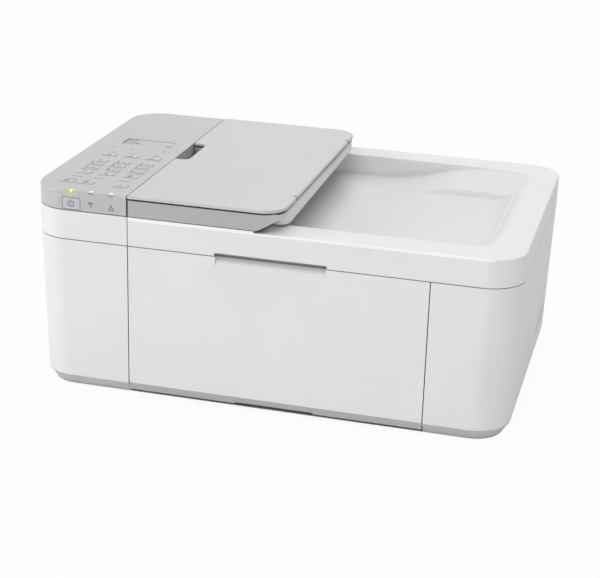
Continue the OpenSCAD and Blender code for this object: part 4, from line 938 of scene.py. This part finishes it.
KEY_X = (-188.0, -167.0, -144.5)
KEY_Y = (-53.5, -65.5, -79.0, -92.0)
NAV_Y = -32.0
START_Y = -122.0
START_X = (-192.5, -174.5, -142.5)
KEY_W, KEY_D, KEY_CORNER = 15.0, 7.6, 1.2
PAD = {
    "key_1": ("1", ""), "key_2": ("2", "ABC"), "key_3": ("3", "DEF"), "key_4": ("4", "GHI"),
    "key_5": ("5", "JKL"), "key_6": ("6", "MNO"), "key_7": ("7", "PQRS"), "key_8": ("8", "TUV"),
    "key_9": ("9", "WXYZ"), "key_star": ("*", ""), "key_0": ("0", ""), "key_hash": ("#", ""),
}
CAP = on_top(TOP)


def round_box(at, w, d, r, steps=4):
    """Outline of a rectangle with rounded corners."""
    points = []
    for k, (sx, sy) in enumerate(((1, 1), (-1, 1), (-1, -1), (1, -1))):
        middle = (at[0] + sx * (w / 2 - r), at[1] + sy * (d / 2 - r))
        points += arc(middle, r, 90 * k, 90 * k + 90, steps)
    return points


def draw_beds(bm):
    """Soft seals that close the gap round every key, a hair below the panel's top."""
    places = [(x, y) for x in KEY_X for y in (*KEY_Y, NAV_Y)] + [(x, START_Y) for x in START_X]
    for at in places:
        inner = round_box(at, KEY_W + 0.12, KEY_D + 0.12, KEY_CORNER + 0.06)
        outer = round_box(at, KEY_W + 1.4, KEY_D + 1.4, KEY_CORNER + 0.7)
        rows = []
        for level, points in ((-0.14, inner), (-0.06, outer), (-0.6, outer), (-0.6, inner)):
            rows.append([bm.verts.new((x, y, PANEL_TOP + level)) for x, y in points])
        count = len(inner)
        for a, b in zip(rows, rows[1:] + rows[:1]):
            for k in range(count):
                bm.faces.new((a[k], a[(k + 1) % count], b[(k + 1) % count], b[k]))


print_piece("key_seals", body_of("operation_panel"), MATERIALS["panel_grey"], draw_beds)

for i, (key, (digit, group)) in enumerate(PAD.items()):
    x, y = KEY_X[i % 3], KEY_Y[i // 3]

    def draw_pad(bm, digit=digit, group=group, x=x, y=y):
        letters(bm, digit, 6.0, (x - (3.6 if group else 0), y), CAP, 0.24)
        if group:
            letters(bm, group, 2.8, (x + 2.6, y - 0.5), CAP)

    print_piece("print_" + key, body_of(key), INK, draw_pad)


MARK_Y = NAV_Y - 1.4


def draw_arrow(bm, x, turn):
    tip = [(x - 2.2 * turn, MARK_Y - 1.8), (x + 2.2 * turn, MARK_Y), (x - 2.2 * turn, MARK_Y + 1.8)]
    prism(bm, tip[::turn], CAP)


print_piece("print_left_key", body_of("left_key"), INK,
            lambda bm: draw_arrow(bm, KEY_X[0], -1))
print_piece("print_right_key", body_of("right_key"), INK,
            lambda bm: draw_arrow(bm, KEY_X[2], 1))
print_piece("print_ok_key", body_of("ok_key"), INK,
            lambda bm: letters(bm, "OK", 4.4, (KEY_X[1], MARK_Y), CAP, 0.22))


def start_mark(bm, x):
    diamond = [(x - 2.4, START_Y), (x, START_Y - 2.3), (x + 2.4, START_Y), (x, START_Y + 2.3)]
    stroke(bm, diamond, 0.6, CAP, True)
    stroke(bm, [(x, START_Y - 1.3), (x, START_Y + 1.3)], 0.6, CAP)


print_piece("print_black_start_key", body_of("black_start_key"), INK,
            lambda bm: start_mark(bm, START_X[0]))
print_piece("print_colour_start_key", body_of("colour_start_key"), INK,
            lambda bm: start_mark(bm, START_X[1]))


def draw_stop(bm):
    at = (START_X[2], START_Y)
    stroke(bm, ring(at, 2.7), 0.7, CAP, True)
    prism(bm, [(at[0], at[1] - 1.2), (at[0] + 1.2, at[1] + 0.8), (at[0] - 1.2, at[1] + 0.8)], CAP)


print_piece("print_stop_key", body_of("stop_key"), RED_INK, draw_stop)

POWER_AT = (-178.0, 176.5)


def draw_power(bm):
    face = on_front(FRONT)
    stroke(bm, arc(POWER_AT, 2.6, 120, 420, 22), 0.8, face)
    stroke(bm, [(POWER_AT[0], POWER_AT[1] + 0.1), (POWER_AT[0], POWER_AT[1] + 3.6)], 0.8, face)


print_piece("print_power", body_of("power_button"), BLUE_INK, draw_power)


def draw_front_icons(bm):
    face = on_front(FRONT)
    x, z = -159.8, 175.4
    prism(bm, ring((x, z), 0.8, 12), face)
    for r in (1.7, 2.7, 3.7):
        stroke(bm, arc((x, z), r, 45, 135, 10), 0.62, face)
    x, z = -140.8, 175.9
    stroke(bm, [(x - 2.6, z - 2), (x + 2.6, z - 2), (x, z + 2.6)], 0.62, face, True)
    prism(bm, box_line(x - 0.3, z - 0.4, x + 0.3, z + 1.1), face)
    prism(bm, box_line(x - 0.3, z - 1.3, x + 0.3, z - 0.8), face)


print_piece("print_front_icons", body_of("operation_panel"), BLUE_INK, draw_front_icons)


def draw_panel_labels(bm):
    """Short words beside the keys and lamps, as plain dashes."""
    top = on_top(PANEL_TOP)
    for x, y, width in LABELS:
        count = max(2, round(width / 2.4))
        for k in range(count):
            left = x - width / 2 + k * width / count
            prism(bm, box_line(left, y - 0.8, left + 0.8 * width / count, y + 0.8), top)


LABELS = (
    (-193.2, -5.5, 3.2), (-175.2, -5.5, 3.4), (-159.5, -5.5, 2.6), (-142.6, -5.5, 4),
    (-187.1, -22.6, 7), (-169.2, -22.6, 8), (-144.5, -22.6, 7),
    (-188.7, -106.6, 10), (-167.7, -106.6, 10), (-144.5, -106.6, 12),
    (-189.5, -115.6, 9), (-176.0, -115.6, 7),
)
print_piece("print_panel_labels", body_of("operation_panel"), PALE_INK, draw_panel_labels)


def draw_display(bm):
    glass = on_top(LCD_TOP)
    x0, x1, y0, y1 = -190.5, -142.0, 8.4, 27.3
    stroke(bm, [(x1, y1), (x0, y1), (x0, y0)], 0.9, glass)
    cell = (x0 + 1.2, y0 + 3.0, x0 + 10.4, y1 - 1.4)
    stroke(bm, box_line(*cell), 0.8, glass, True)
    for k in range(4):
        y = cell[3] - 3 - 2.6 * k
        stroke(bm, [(cell[0] + 1.6, y), (cell[2] - 1.6, y)], 0.9, glass)
    prism(bm, box_line(x0 + 12.4, y0 + 3.6, x0 + 16.4, y0 + 6), glass)
    for k in range(4):
        prism(bm, box_line(x1 - 6.4 + 1.5 * k, y0 + 2.6, x1 - 5.4 + 1.5 * k, y0 + 4 + 1.1 * k), glass)


print_piece("print_display", body_of("lcd_window"), INK, draw_display)


def draw_ruler(bm):
    """Alignment marks round the platen glass."""
    top = on_top(PLATEN)
    for k in range(22):
        y = 105 - 10 * k
        stroke(bm, [(-102.3, y), (-102.3 - (3.6 if k % 5 == 0 else 2), y)], 0.3, top)
    for k in range(30):
        x = -93 + 10 * k
        stroke(bm, [(x, 114.4), (x, 114.4 + (3.2 if k % 5 == 0 else 1.8))], 0.3, top)
    prism(bm, [(-102.4, 113.8), (-106.4, 112.6), (-103.8, 115.6)], top)


print_piece("print_ruler", body_of("scanner_frame"), INK, draw_ruler)
